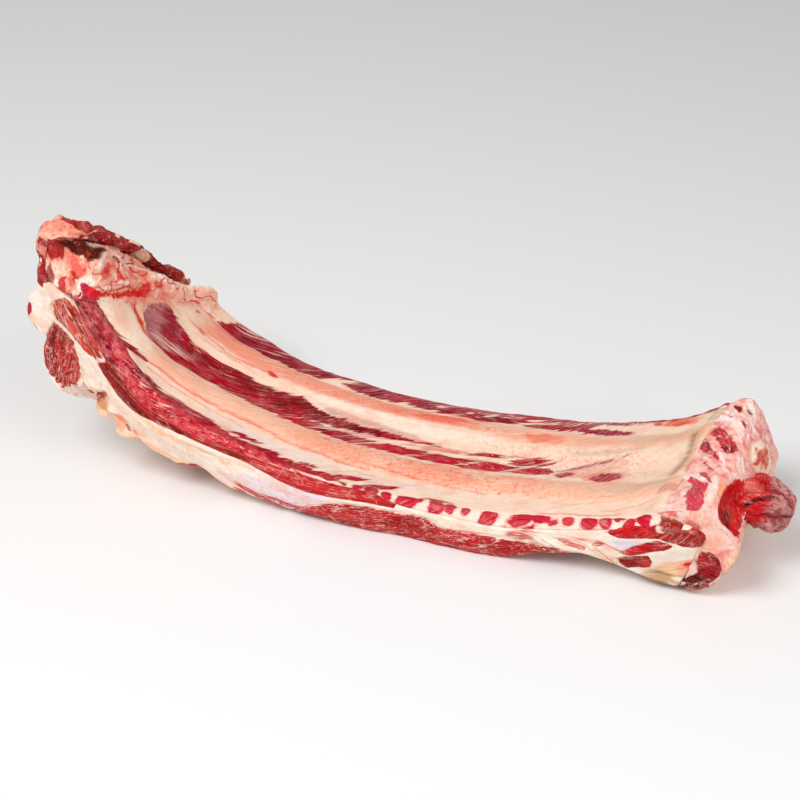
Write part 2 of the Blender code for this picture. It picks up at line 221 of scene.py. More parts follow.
CREAM = (244, 214, 190)
CREAM_COOL = (236, 214, 202)
FAT_WHITE = (250, 236, 220)
FAT_PEACH = (248, 200, 160)
PEACH = (243, 172, 136)
BONE_PINK = (242, 132, 100)
RED_PINK = (232, 84, 74)
PALE_PINK = (248, 188, 172)
CRIMSON = (170, 0, 26)
CRIMSON_DEEP = (116, 0, 12)
CRIMSON_LIGHT = (206, 4, 44)
PURPLE = (154, 42, 62)
PURPLE_GREY = (186, 116, 118)
BRICK = (198, 32, 28)
BROWN_RED = (146, 22, 12)
BROWN_DARK = (92, 18, 8)
BLOOD = (214, 4, 2)
RUST = (234, 84, 40)
TAN = (208, 150, 100)
OLIVE_TAN = (188, 146, 88)
# painted shade: grey-green shading on the membrane near the breast end
GREY_GREEN_SHADE = (196, 178, 154)
# painted shade: near-black inside a hole and round raised fat
HOLE_SHADE = (34, 8, 6)
DUSKY_PINK = (214, 108, 98)


def linear(colour):
    """Linear colour of a triple of screen values; colours worked out already stay as they are."""
    if isinstance(colour, np.ndarray):
        return colour
    c = np.array(colour, float) / 255
    return np.where(c <= 0.04045, c / 12.92, ((c + 0.055) / 1.055) ** 2.4)


def stain(colour, *coats):
    """The colour under one coat after another: each is a new colour and how far it covers, 0 to 1."""
    for new, amount in coats:
        amount = np.clip(amount, 0, 1)[..., None]
        colour = linear(colour) * (1 - amount) + linear(new) * amount
    return colour


def patch(a, b, centre, size, turn=0.0):
    """One at the middle of an oval, nought at its rim, negative outside; turn is its slant in degrees."""
    c = math.cos(math.radians(turn))
    k = math.sin(math.radians(turn))
    u = (a - centre[0]) * c + (b - centre[1]) * k
    v = (b - centre[1]) * c - (a - centre[0]) * k
    return 1 - np.hypot(u / size[0], v / size[1])


def area(a, b, corners):
    """Distance in mm to the rim of a closed outline, positive inside it."""
    inside = np.zeros(np.shape(a), bool)
    near = np.full(np.shape(a), 1e3)
    for (x0, y0), (x1, y1) in zip(corners, corners[1:] + corners[:1]):
        dx = x1 - x0
        dy = y1 - y0
        t = np.clip(((a - x0) * dx + (b - y0) * dy) / (dx ** 2 + dy ** 2), 0, 1)
        near = np.minimum(near, np.hypot(a - x0 - t * dx, b - y0 - t * dy))
        if dy:
            inside ^= ((y0 > b) != (y1 > b)) & (a < x0 + (b - y0) * dx / dy)
    return np.where(inside, near, -near)


def areas(colour, a, b, rough, table):
    """Outlined places of new colours: corners, colour and amount; rough, in mm, frays their rims."""
    for corners, new, amount in table:
        colour = stain(colour, (new, amount * ease(-0.8, 0.8, area(a, b, corners) + rough)))
    return colour


def dabs(colour, a, b, rough, table):
    """Ovals of new colours: place, half sizes, slant, colour and amount; rough breaks their rims."""
    for x, y, long, wide, turn, new, amount in table:
        oval = patch(a, b, (x, y), (long, wide), turn) + rough
        colour = stain(colour, (new, amount * ease(-0.1, 0.45, oval)))
    return colour


def spots(lean, a, b, rough, table):
    """Adds ovals of lean meat to the signed width of the lean, in mm."""
    for x, y, long, wide, turn in table:
        lean = np.maximum(lean, patch(a, b, (x, y), (long, wide), turn) * wide * 1.3 + rough)
    return lean


def strokes(colour, a, b, table):
    """Lines through knots: knots, width, colour and amount."""
    for knots, width, new, amount in table:
        ends = ease(knots[0][0] - 3, knots[0][0] + 3, a) * ease(knots[-1][0] + 3, knots[-1][0] - 3, a)
        near = np.clip(1 - np.abs(b - hermite(knots, a)) * 2 / width, 0, 1) * ends
        colour = stain(colour, (new, amount * near))
    return colour


def turned(a, b, c, degrees):
    """Coordinates with the first axis laid along the fibres."""
    k = np.radians(degrees)
    u = a * np.cos(k) + b * np.sin(k)
    v = b * np.cos(k) - a * np.sin(k)
    return np.stack([u, v, c + 0 * u], -1)


def fields_of(along, lean, meat, pale, veil=0.3, ragged=0.5, blush=0.3):
    """What a skin keeps on its points: lean is in steps of 3 mm, positive in meat."""
    blank = 0 * lean
    spread = blank[..., None]
    return {"lean": np.clip(lean / 3.0, -2, 2), "meat": linear(meat) + spread, "pale": linear(pale) + spread,
            "veil": np.clip(veil + blank, 0, 1), "ragged": ragged + blank,
            "blush": np.clip(blush + blank, 0, 2), "along": along}


# meshes


def skin(name, rings, nodes, fields, finish):
    """Closed mesh through rings of points in mm, drawn to a point at both ends, kept inside the solids' box.

    Row j holds one ring; neighbouring rows and columns make the faces.  Each field is kept on the points.
    """
    def with_ends(rows):
        """The rows as one list, with the middle of the first ring and of the last one after them."""
        flat = rows.reshape((-1,) + rows.shape[2:])
        return np.concatenate([flat, rows[0].mean(0)[None], rows[-1].mean(0)[None]])

    rows, cols = rings.shape[:2]
    low, high = np.array(cad_box)
    points = np.clip(with_ends(rings) * MM, low + 1e-5, high - 1e-5)
    j, i = np.meshgrid(np.arange(rows - 1), np.arange(cols), indexing="ij")
    k = (i + 1) % cols
    quads = np.stack([j * cols + i, j * cols + k, (j + 1) * cols + k, (j + 1) * cols + i], -1).reshape(-1, 4)
    ring = np.arange(cols)
    after = (ring + 1) % cols
    base = (rows - 1) * cols
    tip = np.full(cols, rows * cols)
    fans = np.concatenate([np.stack([after, ring, tip], -1),
                           np.stack([base + ring, base + after, tip + 1], -1)])
    tris = np.concatenate([quads[:, [0, 1, 2]], quads[:, [0, 2, 3]], fans])
    a, b, c = points[tris.T]
    if np.sum(a * np.cross(b, c)) < 0:
        quads = quads[:, ::-1]
        fans = fans[:, ::-1]
    mesh = bpy.data.meshes.new(name)
    mesh.vertices.add(len(points))
    mesh.vertices.foreach_set("co", points.ravel().astype(np.float32))
    loops = np.concatenate([quads.ravel(), fans.ravel()]).astype(np.int32)
    mesh.loops.add(len(loops))
    mesh.loops.foreach_set("vertex_index", loops)
    starts = np.concatenate([np.arange(len(quads)) * 4, len(quads) * 4 + np.arange(len(fans)) * 3])
    mesh.polygons.add(len(starts))
    mesh.polygons.foreach_set("loop_start", starts.astype(np.int32))
    mesh.polygons.foreach_set("use_smooth", np.ones(len(starts), bool))
    mesh.update(calc_edges=True)
    for key, value in fields.items():
        value = with_ends(np.asarray(value, float))
        kind, slot = "FLOAT", "value"
        if key == "along":
            kind, slot = "FLOAT_VECTOR", "vector"
        elif value.ndim == 2:
            kind, slot = "FLOAT_COLOR", "color"
            value = np.c_[value, np.ones(len(value))]
        mesh.attributes.new(key, kind, "POINT").data.foreach_set(slot, value.ravel().astype(np.float32))
    mesh.materials.append(finish)
    obj = bpy.data.objects.new(name + "_cut" if name in nodes else name, mesh)
    bpy.context.scene.collection.objects.link(obj)
    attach(obj, "root")
    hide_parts(*nodes)
    return obj


def relax(y, d, times):
    """Rounds the corners of each ring: every point moves towards the middle of its two neighbours."""
    for _ in range(times):
        y, d = (v * 0.5 + (np.roll(v, 1, 1) + np.roll(v, -1, 1)) * 0.25 for v in (y, d))
    return y, d


def outward(points):
    """Unit normals of rings of points, turned away from their middle."""
    beside = (np.roll(points, -1, 1) - np.roll(points, 1, 1)) / 2
    normal = np.cross(np.gradient(points, axis=0), beside)
    normal = normal / np.maximum(np.linalg.norm(normal, axis=-1, keepdims=True), 1e-9)
    normal = (normal + np.roll(normal, 1, 0) + np.roll(normal, -1, 0)) / 3
    return normal if np.sum(normal * (points - points.mean((0, 1)))) > 0 else -normal


# materials


def node(tree, kind, **settings):
    made = tree.nodes.new(kind)
    for key, value in settings.items():
        setattr(made, key, value)
    return made


def wire(tree, made, values):
    """Sets each named input to a value or joins it to a socket."""
    for key, value in values.items():
        if isinstance(value, bpy.types.NodeSocket):
            tree.links.new(value, made.inputs[key])
        else:
            made.inputs[key].default_value = value
    return made


class Maker:
    """Short calls for the nodes of one tree."""

    def __init__(self, tree):
        self.tree = tree

    def math(self, kind, a, b=0.0):
        return wire(self.tree, node(self.tree, "ShaderNodeMath", operation=kind), {0: a, 1: b}).outputs[0]

    def times(self, *values):
        product = values[0]
        for value in values[1:]:
            product = self.math("MULTIPLY", product, value)
        return product

    def plus(self, a, b):
        return self.math("ADD", a, b)

    def both(self, a, share_a, b, share_b):
        return self.plus(self.times(a, share_a), self.times(b, share_b))

    def noise(self, vector, scale=1.0, detail=2.0, roughness=0.55):
        made = node(self.tree, "ShaderNodeTexNoise")
        wire(self.tree, made, {"Vector": vector, "Scale": scale, "Detail": detail, "Roughness": roughness})
        return made.outputs["Fac"]

    def drawn(self, vector, length, width, detail=2.0, roughness=0.55):
        """Noise drawn out along the first axis; length and width are how often it changes in a mm."""
        made = node(self.tree, "ShaderNodeVectorMath", operation="MULTIPLY")
        wire(self.tree, made, {0: vector, 1: (length, width, width)})
        return self.noise(made.outputs[0], detail=detail, roughness=roughness)

    def span(self, value, a, b, c=0.0, d=1.0):
        """c where the value is a, d where it is b, smooth between."""
        made = node(self.tree, "ShaderNodeMapRange", interpolation_type="SMOOTHSTEP")
        wire(self.tree, made, {"Value": value, "From Min": a, "From Max": b, "To Min": c, "To Max": d})
        return made.outputs["Result"]

    def green(self, colour):
        return wire(self.tree, node(self.tree, "ShaderNodeSeparateColor"), {0: colour}).outputs[1]

    def line(self, value, width):
        """One along the middle value of a noise, nought beyond the width."""
        away = self.math("ABSOLUTE", self.plus(value, -0.5))
        return self.span(away, width, width * 0.15)

    def mix(self, amount, a, b, kind="MIX"):
        made = node(self.tree, "ShaderNodeMix", data_type="RGBA", blend_type=kind)
        return wire(self.tree, made, {0: amount, 6: a, 7: b}).outputs[2]


FIELDS = (("along", "NodeSocketVector", "Vector"), ("lean", "NodeSocketFloat", "Fac"),
          ("meat", "NodeSocketColor", "Color"), ("pale", "NodeSocketColor", "Color"),
          ("veil", "NodeSocketFloat", "Fac"), ("ragged", "NodeSocketFloat", "Fac"),
          ("blush", "NodeSocketFloat", "Fac"))
# linear colours of what the group lays over the fields' own
FIBRE_SHADE = (0.54, 0.34, 0.44, 1)
FIBRE_LIGHT = (0.78, 0.06, 0.10, 1)
SILK = (0.50, 0.05, 0.09, 1)
HAIR = (0.80, 0.36, 0.32, 1)
VEIN = (0.88, 0.55, 0.45, 1)
FLECK = (0.88, 0.46, 0.42, 1)
FLUSH = (0.90, 0.38, 0.24, 1)
THREAD = (0.76, 0.40, 0.30, 1)
WISP = (0.96, 0.84, 0.74, 1)
STIPPLE = (0.96, 0.42, 0.34, 1)
GORE = (0.72, 0.05, 0.04, 1)
SPECK = (0.84, 0.16, 0.09, 1)
DUSK = (0.52, 0.14, 0.15, 1)
FILM_LOW = (0.54, 0.08, 0.11, 1)
FILM_HIGH = (0.90, 0.60, 0.50, 1)


def flesh_group():
    """Meat with fibres and fine lines of fat, stained paler tissue, and the frayed border between them."""
    tree = bpy.data.node_groups.new("flesh", "ShaderNodeTree")
    for name, kind, _ in FIELDS + (("place", "NodeSocketVector", ""), ("fibre", "NodeSocketFloat", ""),
                                   ("marbling", "NodeSocketFloat", ""), ("feather", "NodeSocketFloat", "")):
        tree.interface.new_socket(name, in_out="INPUT", socket_type=kind)
    for name in ("colour", "roughness", "height", "wet"):
        kind = "NodeSocketColor" if name == "colour" else "NodeSocketFloat"
        tree.interface.new_socket(name, in_out="OUTPUT", socket_type=kind)
    given = tree.nodes.new("NodeGroupInput").outputs
    out = tree.nodes.new("NodeGroupOutput")
    m = Maker(tree)
    fibre, ragged, veil, blush = given["fibre"], given["ragged"], given["veil"], given["blush"]
    threads = m.drawn(given["along"], 0.045, 1.25)
    bundles = m.drawn(given["along"], 0.020, 0.40)
    wisps = m.drawn(given["along"], 0.024, 0.62, 3.0, 0.6)
    strands = m.drawn(given["along"], 0.017, 0.55, 1.0, 0.4)
    veins = m.drawn(given["along"], 0.06, 0.20, 3.0, 0.6)
    flecks = m.drawn(given["along"], 0.26, 0.85, 3.0, 0.65)
    slow = m.noise(given["place"], 70.0, 3.0)
    mottle = m.noise(given["place"], 300.0, 4.0, 0.68)
    grit = m.noise(given["place"], 1000.0, 2.0, 0.6)
    # the border between meat and pale tissue frays along the fibres; pale tissue over meat looks dusky
    fray = m.plus(m.times(m.plus(bundles, -0.5), 3.4), m.times(m.plus(threads, -0.5), 2.2))
    edge = m.plus(given["lean"], m.times(fray, ragged, given["feather"]))
    lean = m.span(edge, -0.12, 0.16)
    dusk = m.times(m.span(edge, -0.7, 0.0), m.times(ragged, 0.30))
    # meat: darker and lighter fibres, hairlines and veins of fat
    shaded = m.mix(1.0, given["meat"], FIBRE_SHADE, "MULTIPLY")
    meat = m.mix(m.times(m.span(threads, 0.52, 0.32), fibre), given["meat"], shaded)
    lit = m.mix(0.4, given["meat"], FIBRE_LIGHT)
    meat = m.mix(m.times(m.span(bundles, 0.50, 0.66), m.times(fibre, 0.6)), meat, lit)
    silk = m.span(m.both(threads, 0.4, wisps, 0.6), 0.53, 0.60)
    meat = m.mix(m.times(silk, m.span(veil, 0.05, 0.6, 0.10, 0.50)), meat, SILK)
    hair = m.times(m.line(strands, 0.024), m.span(slow, 0.40, 0.60, 0.15, 0.65))
    meat = m.mix(m.times(hair, fibre), meat, HAIR)
    meat = m.mix(m.times(m.line(veins, 0.030), m.span(slow, 0.42, 0.60), given["marbling"]), meat, VEIN)
    meat = m.mix(m.times(m.span(flecks, 0.57, 0.65), m.span(blush, 0.3, 0.9, 0.0, 0.75)), meat, FLECK)
    # fat, membrane and bone: soft stains, faint grey and white threads, red mottling where the blush says
    light = m.span(m.green(given["pale"]), 0.0, 0.32, 0.18, 1.0)
    pale = given["pale"]
    for value, a, b, most, new in ((slow, 0.46, 0.70, 0.38, FLUSH), (threads, 0.46, 0.30, 0.26, THREAD),
                                   (wisps, 0.52, 0.64, 0.32, WISP)):
        pale = m.mix(m.times(m.span(value, a, b, 0.0, most), light), pale, new)
    stipple = m.span(m.both(mottle, 0.6, grit, 0.4), 0.50, 0.60)
    pale = m.mix(m.times(stipple, m.math("MINIMUM", m.times(blush, 0.6), 0.8)), pale,
                 m.mix(1.0, pale, STIPPLE, "MULTIPLY"))
    gore = m.span(m.both(mottle, 0.7, grit, 0.3), 0.56, 0.64)
    pale = m.mix(m.times(gore, m.span(blush, 0.95, 1.3, 0.0, 0.9)), pale, GORE)
    speck = m.span(m.both(mottle, 0.35, grit, 0.65), 0.56, 0.63)
    pale = m.mix(m.times(speck, m.span(blush, 0.4, 1.0, 0.0, 0.55)), pale, SPECK)
    pale = m.mix(dusk, pale, DUSK)
    colour = m.mix(lean, pale, meat)
    # pale streaks of membrane drawn over the meat
    streak = m.span(m.plus(wisps, m.times(m.plus(veil, -0.5), 0.55)), 0.50, 0.58)
    streak = m.times(streak, lean)
    film = m.mix(m.span(veil, 0.2, 0.6), FILM_LOW, FILM_HIGH)
    colour = m.mix(m.times(streak, 0.8), colour, film)
    rough = m.span(grit, 0.3, 0.7, 0.34, 0.52)
    height = m.times(m.both(threads, 0.7, bundles, 0.8), m.plus(0.35, m.times(lean, 0.65)))
    height = m.plus(m.plus(height, m.times(grit, 0.15)), m.both(mottle, 0.6, streak, 0.3))
    wet = m.span(slow, 0.45, 0.68, 0.0, 0.12)
    wire(tree, out, {"colour": colour, "roughness": rough, "height": height, "wet": wet})
    return tree


FLESH = flesh_group()
BUMP_DEPTH = 0.0009
FILM_ROUGHNESS = 0.12
SOFT_DEPTH = 0.004
SOFT_SPREAD = (1.0, 0.35, 0.2)


def flesh(name, fibre=0.8, marbling=0.5, feather=0.35, relief=0.8, soft=0.05, gloss=0.06):
    """A wet raw surface whose colours and borders come from the piece's own fields."""
    mat = bpy.data.materials.new(name)
    mat.use_nodes = True
    tree = mat.node_tree
    group = node(tree, "ShaderNodeGroup", node_tree=FLESH)
    wire(tree, group, {"fibre": fibre, "marbling": marbling, "feather": feather,
                       "place": node(tree, "ShaderNodeTexCoord").outputs["Object"]})
    for key, _, out in FIELDS:
        wire(tree, group, {key: node(tree, "ShaderNodeAttribute", attribute_name=key).outputs[out]})
    bump = node(tree, "ShaderNodeBump")
    wire(tree, bump, {"Strength": relief, "Distance": BUMP_DEPTH, "Height": group.outputs["height"]})
    wire(tree, tree.nodes["Principled BSDF"],
         {"Base Color": group.outputs["colour"], "Roughness": group.outputs["roughness"],
          "Normal": bump.outputs["Normal"], "Coat Weight": group.outputs["wet"],
          "Coat Roughness": FILM_ROUGHNESS, "Specular IOR Level": gloss, "Subsurface Weight": soft,
          "Subsurface Scale": SOFT_DEPTH, "Subsurface Radius": SOFT_SPREAD})
    return mat


# bone side: both ribs and the meat between them in one skin

MIDDLE_TOP = (
    (78, 5), (87, 11), (100, 11.5), (120, 8.7), (137, 11), (162, 14.5), (187, 15.3), (203, 19),
    (220, 20.3), (228, 17), (253, 14.5), (290, 13), (310, 11.5), (343, 10), (390, 10), (415, 9),
    (450, 12))
MIDDLE_LOW = (
    (78, -19), (90, -27), (107, -23), (127, -19), (147, -14.7), (170, -12), (193, -10.5), (240, -10.5),
    (300, -10.5), (350, -10.8), (387, -10), (410, -8), (430, -6))
BAND_LOW = ((200, -12), (207, -9), (225, 0), (250, 4.0), (280, 6.5), (310, 8.5), (335, 10), (350, 12))
REAR_LOW = (
    (127, 47), (133, 46), (165, 46), (187, 48), (213, 49.5), (222, 52), (232, 56), (244, 52), (270, 50.5),
    (290, 52))
REAR_LEFT = ((44, 128), (47, 126), (52, 132), (58, 138), (62, 142), (66, 146), (72, 150))
REAR_THIN = ((280, 53), (330, 52), (390, 50.5), (440, 46.5), (480, 49))
MARGIN = (
    (83, -64), (98, -59), (113, -54.7), (127, -53.8), (140, -51.3), (153, -50.5), (170, -50), (180, -53),
    (200, -53), (215, -52.0), (233, -52.5), (262, -53), (300, -54), (360, -56), (380, -59))
TONGUE_TOP = ((60, -57), (75, -54), (87, -49.5), (95, -47), (103, -45.4))
TONGUE_LOW = ((60, -70), (75, -60), (87, -52.8), (95, -49.4), (103, -46))
PINK_NEAR = ((110, 20), (120, 23.7), (170, 27), (212, 31), (290, 33), (350, 34), (380, 26), (430, 25))
TONGUE_STARTS = (228, 268, 308, 347, 382)
BLOCKS_FROM = 236
FAR_SHIFT = 98
FOLD_AT = 497.5
# spots of meat: s, y, half length, half width, slant
TOP_SPOTS = (
    (306, 55.2, 10, 3.8, 6), (327, 55.5, 14, 4.2, 8), (367, 53.8, 22, 3.8, 6), (403, 52, 20, 3.4, 3),
    (411, 62.5, 18, 3.4, 3), (446, 49.3, 24, 3.8, -6), (450, 61.5, 22, 2.4, -3), (300, 64, 26, 4.5, 6),
    (345, 67, 30, 3.0, 3), (384, 65, 16, 2.6, 3), (401, 5.8, 16, 4.0, 12), (431, -6, 7, 3.2, 12),
    (463, -8, 11, 5.4, 10), (366, 8.4, 18, 1.7, 5), (441, 4.5, 17, 1.1, 24), (452, 9, 14, 0.9, 22),
    (282, -51, 12, 1.8, 8), (306, -53.5, 14, 2.2, 8), (350, -56, 10, 1.2, 8), (196, -49.0, 10, 2.2, 8),
    (247, -50.5, 7, 1.8, 8))
# blocks of meat on the cut face: s, d, half length, half width, slant
CUT_SPOTS = (
    (241, -3.6, 4.8, 3.6, -24), (253, -4.2, 7.0, 3.8, -24), (267, -3.0, 5.4, 4.0, -26),
    (277.5, -2.4, 4.8, 4.0, -28), (288.5, -1.2, 5.4, 3.6, -34), (299.5, 0.4, 6.4, 4.2, -32),
    (310.5, 1.4, 4.4, 4.2, -34), (326.5, 3.2, 8.6, 4.6, -14), (348.5, 3.2, 5.8, 4.8, -20),
    (359.5, 2.0, 4.4, 3.2, -30), (371.5, 2, 3.4, 2.4, -20), (388.5, 4.2, 7.4, 4.8, -24),
    (413, 3.0, 9.4, 4.4, -14), (427, 1.6, 7.4, 4.0, -8), (419, 8.4, 6.0, 2.4, -20),
    (447, 2.5, 4.4, 3.2, -24), (462, 3.0, 6.4, 4.2, -20), (463, 10.5, 6.0, 2.4, -10),
    (474.5, 2.5, 4.4, 4.2, -30), (485, -0.6, 6.4, 3.8, -10), (502, 1, 5.8, 6.2, 0),
    (497, 9.6, 25, 3.2, -2), (401, 8.6, 1.8, 1.2, 0), (436, 4.5, 3.4, 1.4, -30),
    (336.5, 0.5, 3.6, 1.6, -30), (492, 4.2, 6, 2.4, -20), (380, -0.5, 5, 1.2, -10),
    (262, 4.0, 14, 0.9, 4), (245, 3.0, 9, 0.9, 6))
# ovals of colour on the meat, on its cut faces and on bone and membrane
CRIMSONS = (
    (92, 1, 26, 13, 6, PURPLE, 0.9), (84, -7, 13, 19, 8, PURPLE_GREY, 0.95),
    (108, -14, 34, 4.5, 30, PURPLE_GREY, 0.8), (166, 64, 20, 4, 14, PURPLE_GREY, 0.45),
    (250, 66, 60, 5, 3, PURPLE, 0.6), (147, -54, 30, 4, 3, PURPLE, 0.8),
    (200, 14, 60, 5, 2, CRIMSON_DEEP, 0.8), (262, 9, 46, 5, -4, CRIMSON_DEEP, 0.8),
    (160, 6, 60, 6, 6, CRIMSON_DEEP, 0.6), (215, -6, 28, 5, 20, CRIMSON_LIGHT, 0.7),
    (290, -6, 26, 5, 4, CRIMSON_LIGHT, 0.7), (360, -7, 60, 5, 3, CRIMSON_LIGHT, 0.6),
    (303, 55, 8, 3, 4, CRIMSON_DEEP, 0.85), (200, 55, 60, 6, 8, CRIMSON_DEEP, 0.6),
    (450, 50, 30, 6, -6, PURPLE, 0.6), (440, 62, 40, 5, 0, PURPLE_GREY, 0.6),
    (340, 66, 60, 4, 3, PURPLE_GREY, 0.5), (463, -8, 12, 6, 10, PURPLE, 0.5),
    (445, 6, 20, 5, 20, PURPLE_GREY, 0.9))
CUT_TONES = (
    (48, 4, 34, 14, -6, (160, 20, 34), 0.95), (70, 11, 44, 5, 4, (122, 12, 22), 0.6),
    (128, -3, 44, 3.6, -11, CRIMSON_DEEP, 0.95), (149, -8.5, 22, 3.4, -8, PURPLE_GREY, 0.6),
    (88, -7, 13, 4, -20, CRIMSON, 0.9), (130, 8, 42, 7, -4, (216, 50, 60), 0.8),
    (176, 1, 12, 7, 0, CRIMSON_LIGHT, 0.8), (91, 11.5, 6, 1.4, -20, FAT_WHITE, 0.4),
    (142, 4.6, 3.4, 1.0, 0, FAT_WHITE, 0.4), (97, 7, 4, 1.2, 20, FAT_WHITE, 0.3),
    (200, -3, 34, 7, -3, CRIMSON_LIGHT, 0.7), (60, 0, 26, 3, -12, PURPLE, 0.5),
    (485, -1, 8, 4, 0, RED_PINK, 0.6), (447, 2, 7, 4, 0, RED_PINK, 0.7),
    (497, 9.6, 26, 4, -2, (206, 14, 16), 0.8))
PALES = (
    (255, -25, 44, 12, 0, BONE_PINK, 0.4), (335, -28, 42, 12, 0, BONE_PINK, 0.4),
    (318, 40, 44, 9, 0, BONE_PINK, 0.7), (406, 34, 21, 8, 0, BONE_PINK, 0.95),
    (398, -24, 26, 12, 0, BONE_PINK, 0.2), (445, 34, 22, 5, 0, BONE_PINK, 0.3),
    (150, 34, 40, 8, 4, BONE_PINK, 0.4), (60, -42, 22, 8, 0, BONE_PINK, 0.3),
    (350, -14, 24, 3.4, 3, BONE_PINK, 0.7), (345, -27, 30, 7, -6, RED_PINK, 0.12),
    (318, 40, 36, 5, 6, RED_PINK, 0.45), (262, 19, 34, 5.5, -2, PURPLE_GREY, 0.6),
    (300, 14, 20, 4, 0, PURPLE_GREY, 0.45), (290, -47, 40, 6, 2, PURPLE_GREY, 0.4),
    (190, -48, 24, 5, 2, PURPLE_GREY, 0.5), (215, -44, 70, 7, 1, CREAM_COOL, 0.9),
    # painted shade: the grey-green ovals at (487, -25), (492, 35) and (456, 20)
    (330, -46, 60, 6, 0, CREAM_COOL, 0.7), (487, -25, 36, 7, 9, GREY_GREEN_SHADE, 0.45),
    (492, 35, 26, 6, 6, GREY_GREEN_SHADE, 0.45), (456, 20, 34, 3.6, 8, GREY_GREEN_SHADE, 0.5),
    (300, 25, 90, 7, -2, FAT_WHITE, 0.6), (386, 3.4, 8, 1.8, 4, FAT_WHITE, 0.95),
    (362, 1, 10, 2.4, 0, DUSKY_PINK, 0.6), (330, 6, 28, 3, 4, DUSKY_PINK, 0.8),
    (270, 3, 30, 4, 14, DUSKY_PINK, 0.6), (462, -7, 19, 9, 12, RUST, 0.45),
    (450, 2, 30, 9, 20, DUSKY_PINK, 0.35), (185, 28.4, 6.8, 3.2, -6, BLOOD, 1),
    (109, 36.5, 3.4, 2, 30, RUST, 0.9), (121.7, 23.3, 4, 2.4, -10, BLOOD, 0.5),
    (249, -17, 2.2, 1.6, 0, RUST, 0.8), (390, -37.5, 1.8, 1.5, 0, BLOOD, 0.7),
    (484, 62, 3.6, 2.4, -6, BLOOD, 0.8), (488, 58.5, 4.4, 3, -20, BLOOD, 0.85),
    (508, 57, 22, 5.5, -4, RUST, 0.85), (508, 55, 9, 2.6, 0, BLOOD, 0.5),
    (500, 61, 16, 2.4, 0, RUST, 0.5), (517, -31, 12, 4.5, 12, PURPLE_GREY, 0.6),
    # painted shade: the grey-green oval at (537, 52)
    (537, 52, 8, 10, 50, GREY_GREEN_SHADE, 0.7), (60, -14, 13, 5, 52, BLOOD, 1),
    (66, -20, 9, 3.4, -30, BLOOD, 1), (77, -24, 10, 3, -25, BLOOD, 0.9), (54, -6, 9, 3, 60, BLOOD, 0.8),
    (90, -28, 7, 1.6, 6, BLOOD, 0.8), (43, -38, 12, 3, 62, BLOOD, 0.9), (38, -47, 8, 3, 55, RUST, 0.8),
    (119, 47, 7, 1.8, 10, BLOOD, 0.7), (112, 52, 8, 2, 40, BROWN_RED, 0.9))
# lines: knots in s and y, width, colour, amount
LINES = (
    (((100, -46), (113, -41.5), (137, -38), (187, -33.5), (215, -32)), 2.8, RED_PINK, 0.9),
    (((104, -49), (130, -43), (165, -40.5), (190, -40)), 1.9, RED_PINK, 0.6),
    (((140, -35), (170, -33), (205, -30)), 1.4, DUSKY_PINK, 0.6),
    (((212, -34), (237, -34.2), (290, -37)), 2.8, DUSKY_PINK, 0.8),
    (((280, -31), (320, -35), (350, -38), (380, -39.5)), 2.2, RED_PINK, 0.7),
    (((425, -56), (450, -55.6), (485, -55)), 2.4, RUST, 0.8),
    (((108, 22), (125, 24), (145, 23), (170, 26), (186, 28)), 3.4, RED_PINK, 0.8),
    (((118, 18), (140, 19.5), (170, 22)), 2.0, RED_PINK, 0.6),
    (((124, 20.5), (150, 21), (168, 24)), 1.2, DUSKY_PINK, 0.6),
    (((116, 50), (122, 44.5), (134, 42), (150, 42.5), (165, 44)), 2.4, RED_PINK, 0.8),
    (((76, -27), (92, -31), (120, -31), (150, -27)), 1.8, RUST, 0.35),
    (((310, 12), (318, 12.5), (325, 11.5), (332, 13.5)), 2.0, RUST, 0.8),
    (((365, 9.6), (376, 9.2), (388, 10.4), (416, 10)), 1.6, BROWN_RED, 0.75),
    (((430, 32), (438, 37), (450, 39)), 2.0, RUST, 0.4),
    (((48, -48), (52, -35), (58, -21), (70, -26), (83, -28)), 2.2, (240, 150, 84), 0.7),
    (((75, -15), (73, -3), (77, 5), (87, 14), (100, 17)), 2.4, (240, 156, 96), 0.7),
    # painted shade: the grey-green line below
    (((455, -28), (480, -30), (500, -26), (520, -18)), 2.6, GREY_GREEN_SHADE, 0.7),
    (((430, -44), (470, -40), (505, -31)), 2.2, PEACH, 0.8),
    (((470, -52), (490, -47), (508, -38)), 2.2, RED_PINK, 0.6),
    (((250, -42), (300, -43), (360, -45)), 1.2, TAN, 0.4),
    (((455, -36), (480, -34), (512, -27)), 1.4, DUSKY_PINK, 0.5),
    (((395, 44), (430, 43), (470, 40)), 2.0, FAT_WHITE, 0.6))


def bone_relief(s, y):
    """Height of the bone side in mm: two crowned ribs and the hollow between them."""
    height = np.zeros_like(s)
    crowns = ((RIB1_NEAR, RIB1_FAR, 2.4), (RIB2_NEAR, RIB2_FAR, 2.4), (RIB1_FAR, RIB2_NEAR, -1.6))
    for near, far, crown in crowns:
        low = hermite(near, s)
        high = hermite(far, s)
        q = np.clip((2 * y - low - high) / (high - low), -1, 1)
        height += crown * (1 - q * q)
    return height


def fold_away(sigma, y):
    """Distance from the fold where the membrane ends at the breast."""
    return np.abs(sigma - FOLD_AT - 2.4 * np.sin(y / 9.0)) + 6 * ease(-6, -16, y) + 6 * ease(33, 40, y)


def ridge_away(sigma, y, beyond):
    """Distance from the ridge beyond that fold."""
    return np.abs(sigma - FOLD_AT - beyond - 1.5 * np.sin(y / 9.0))


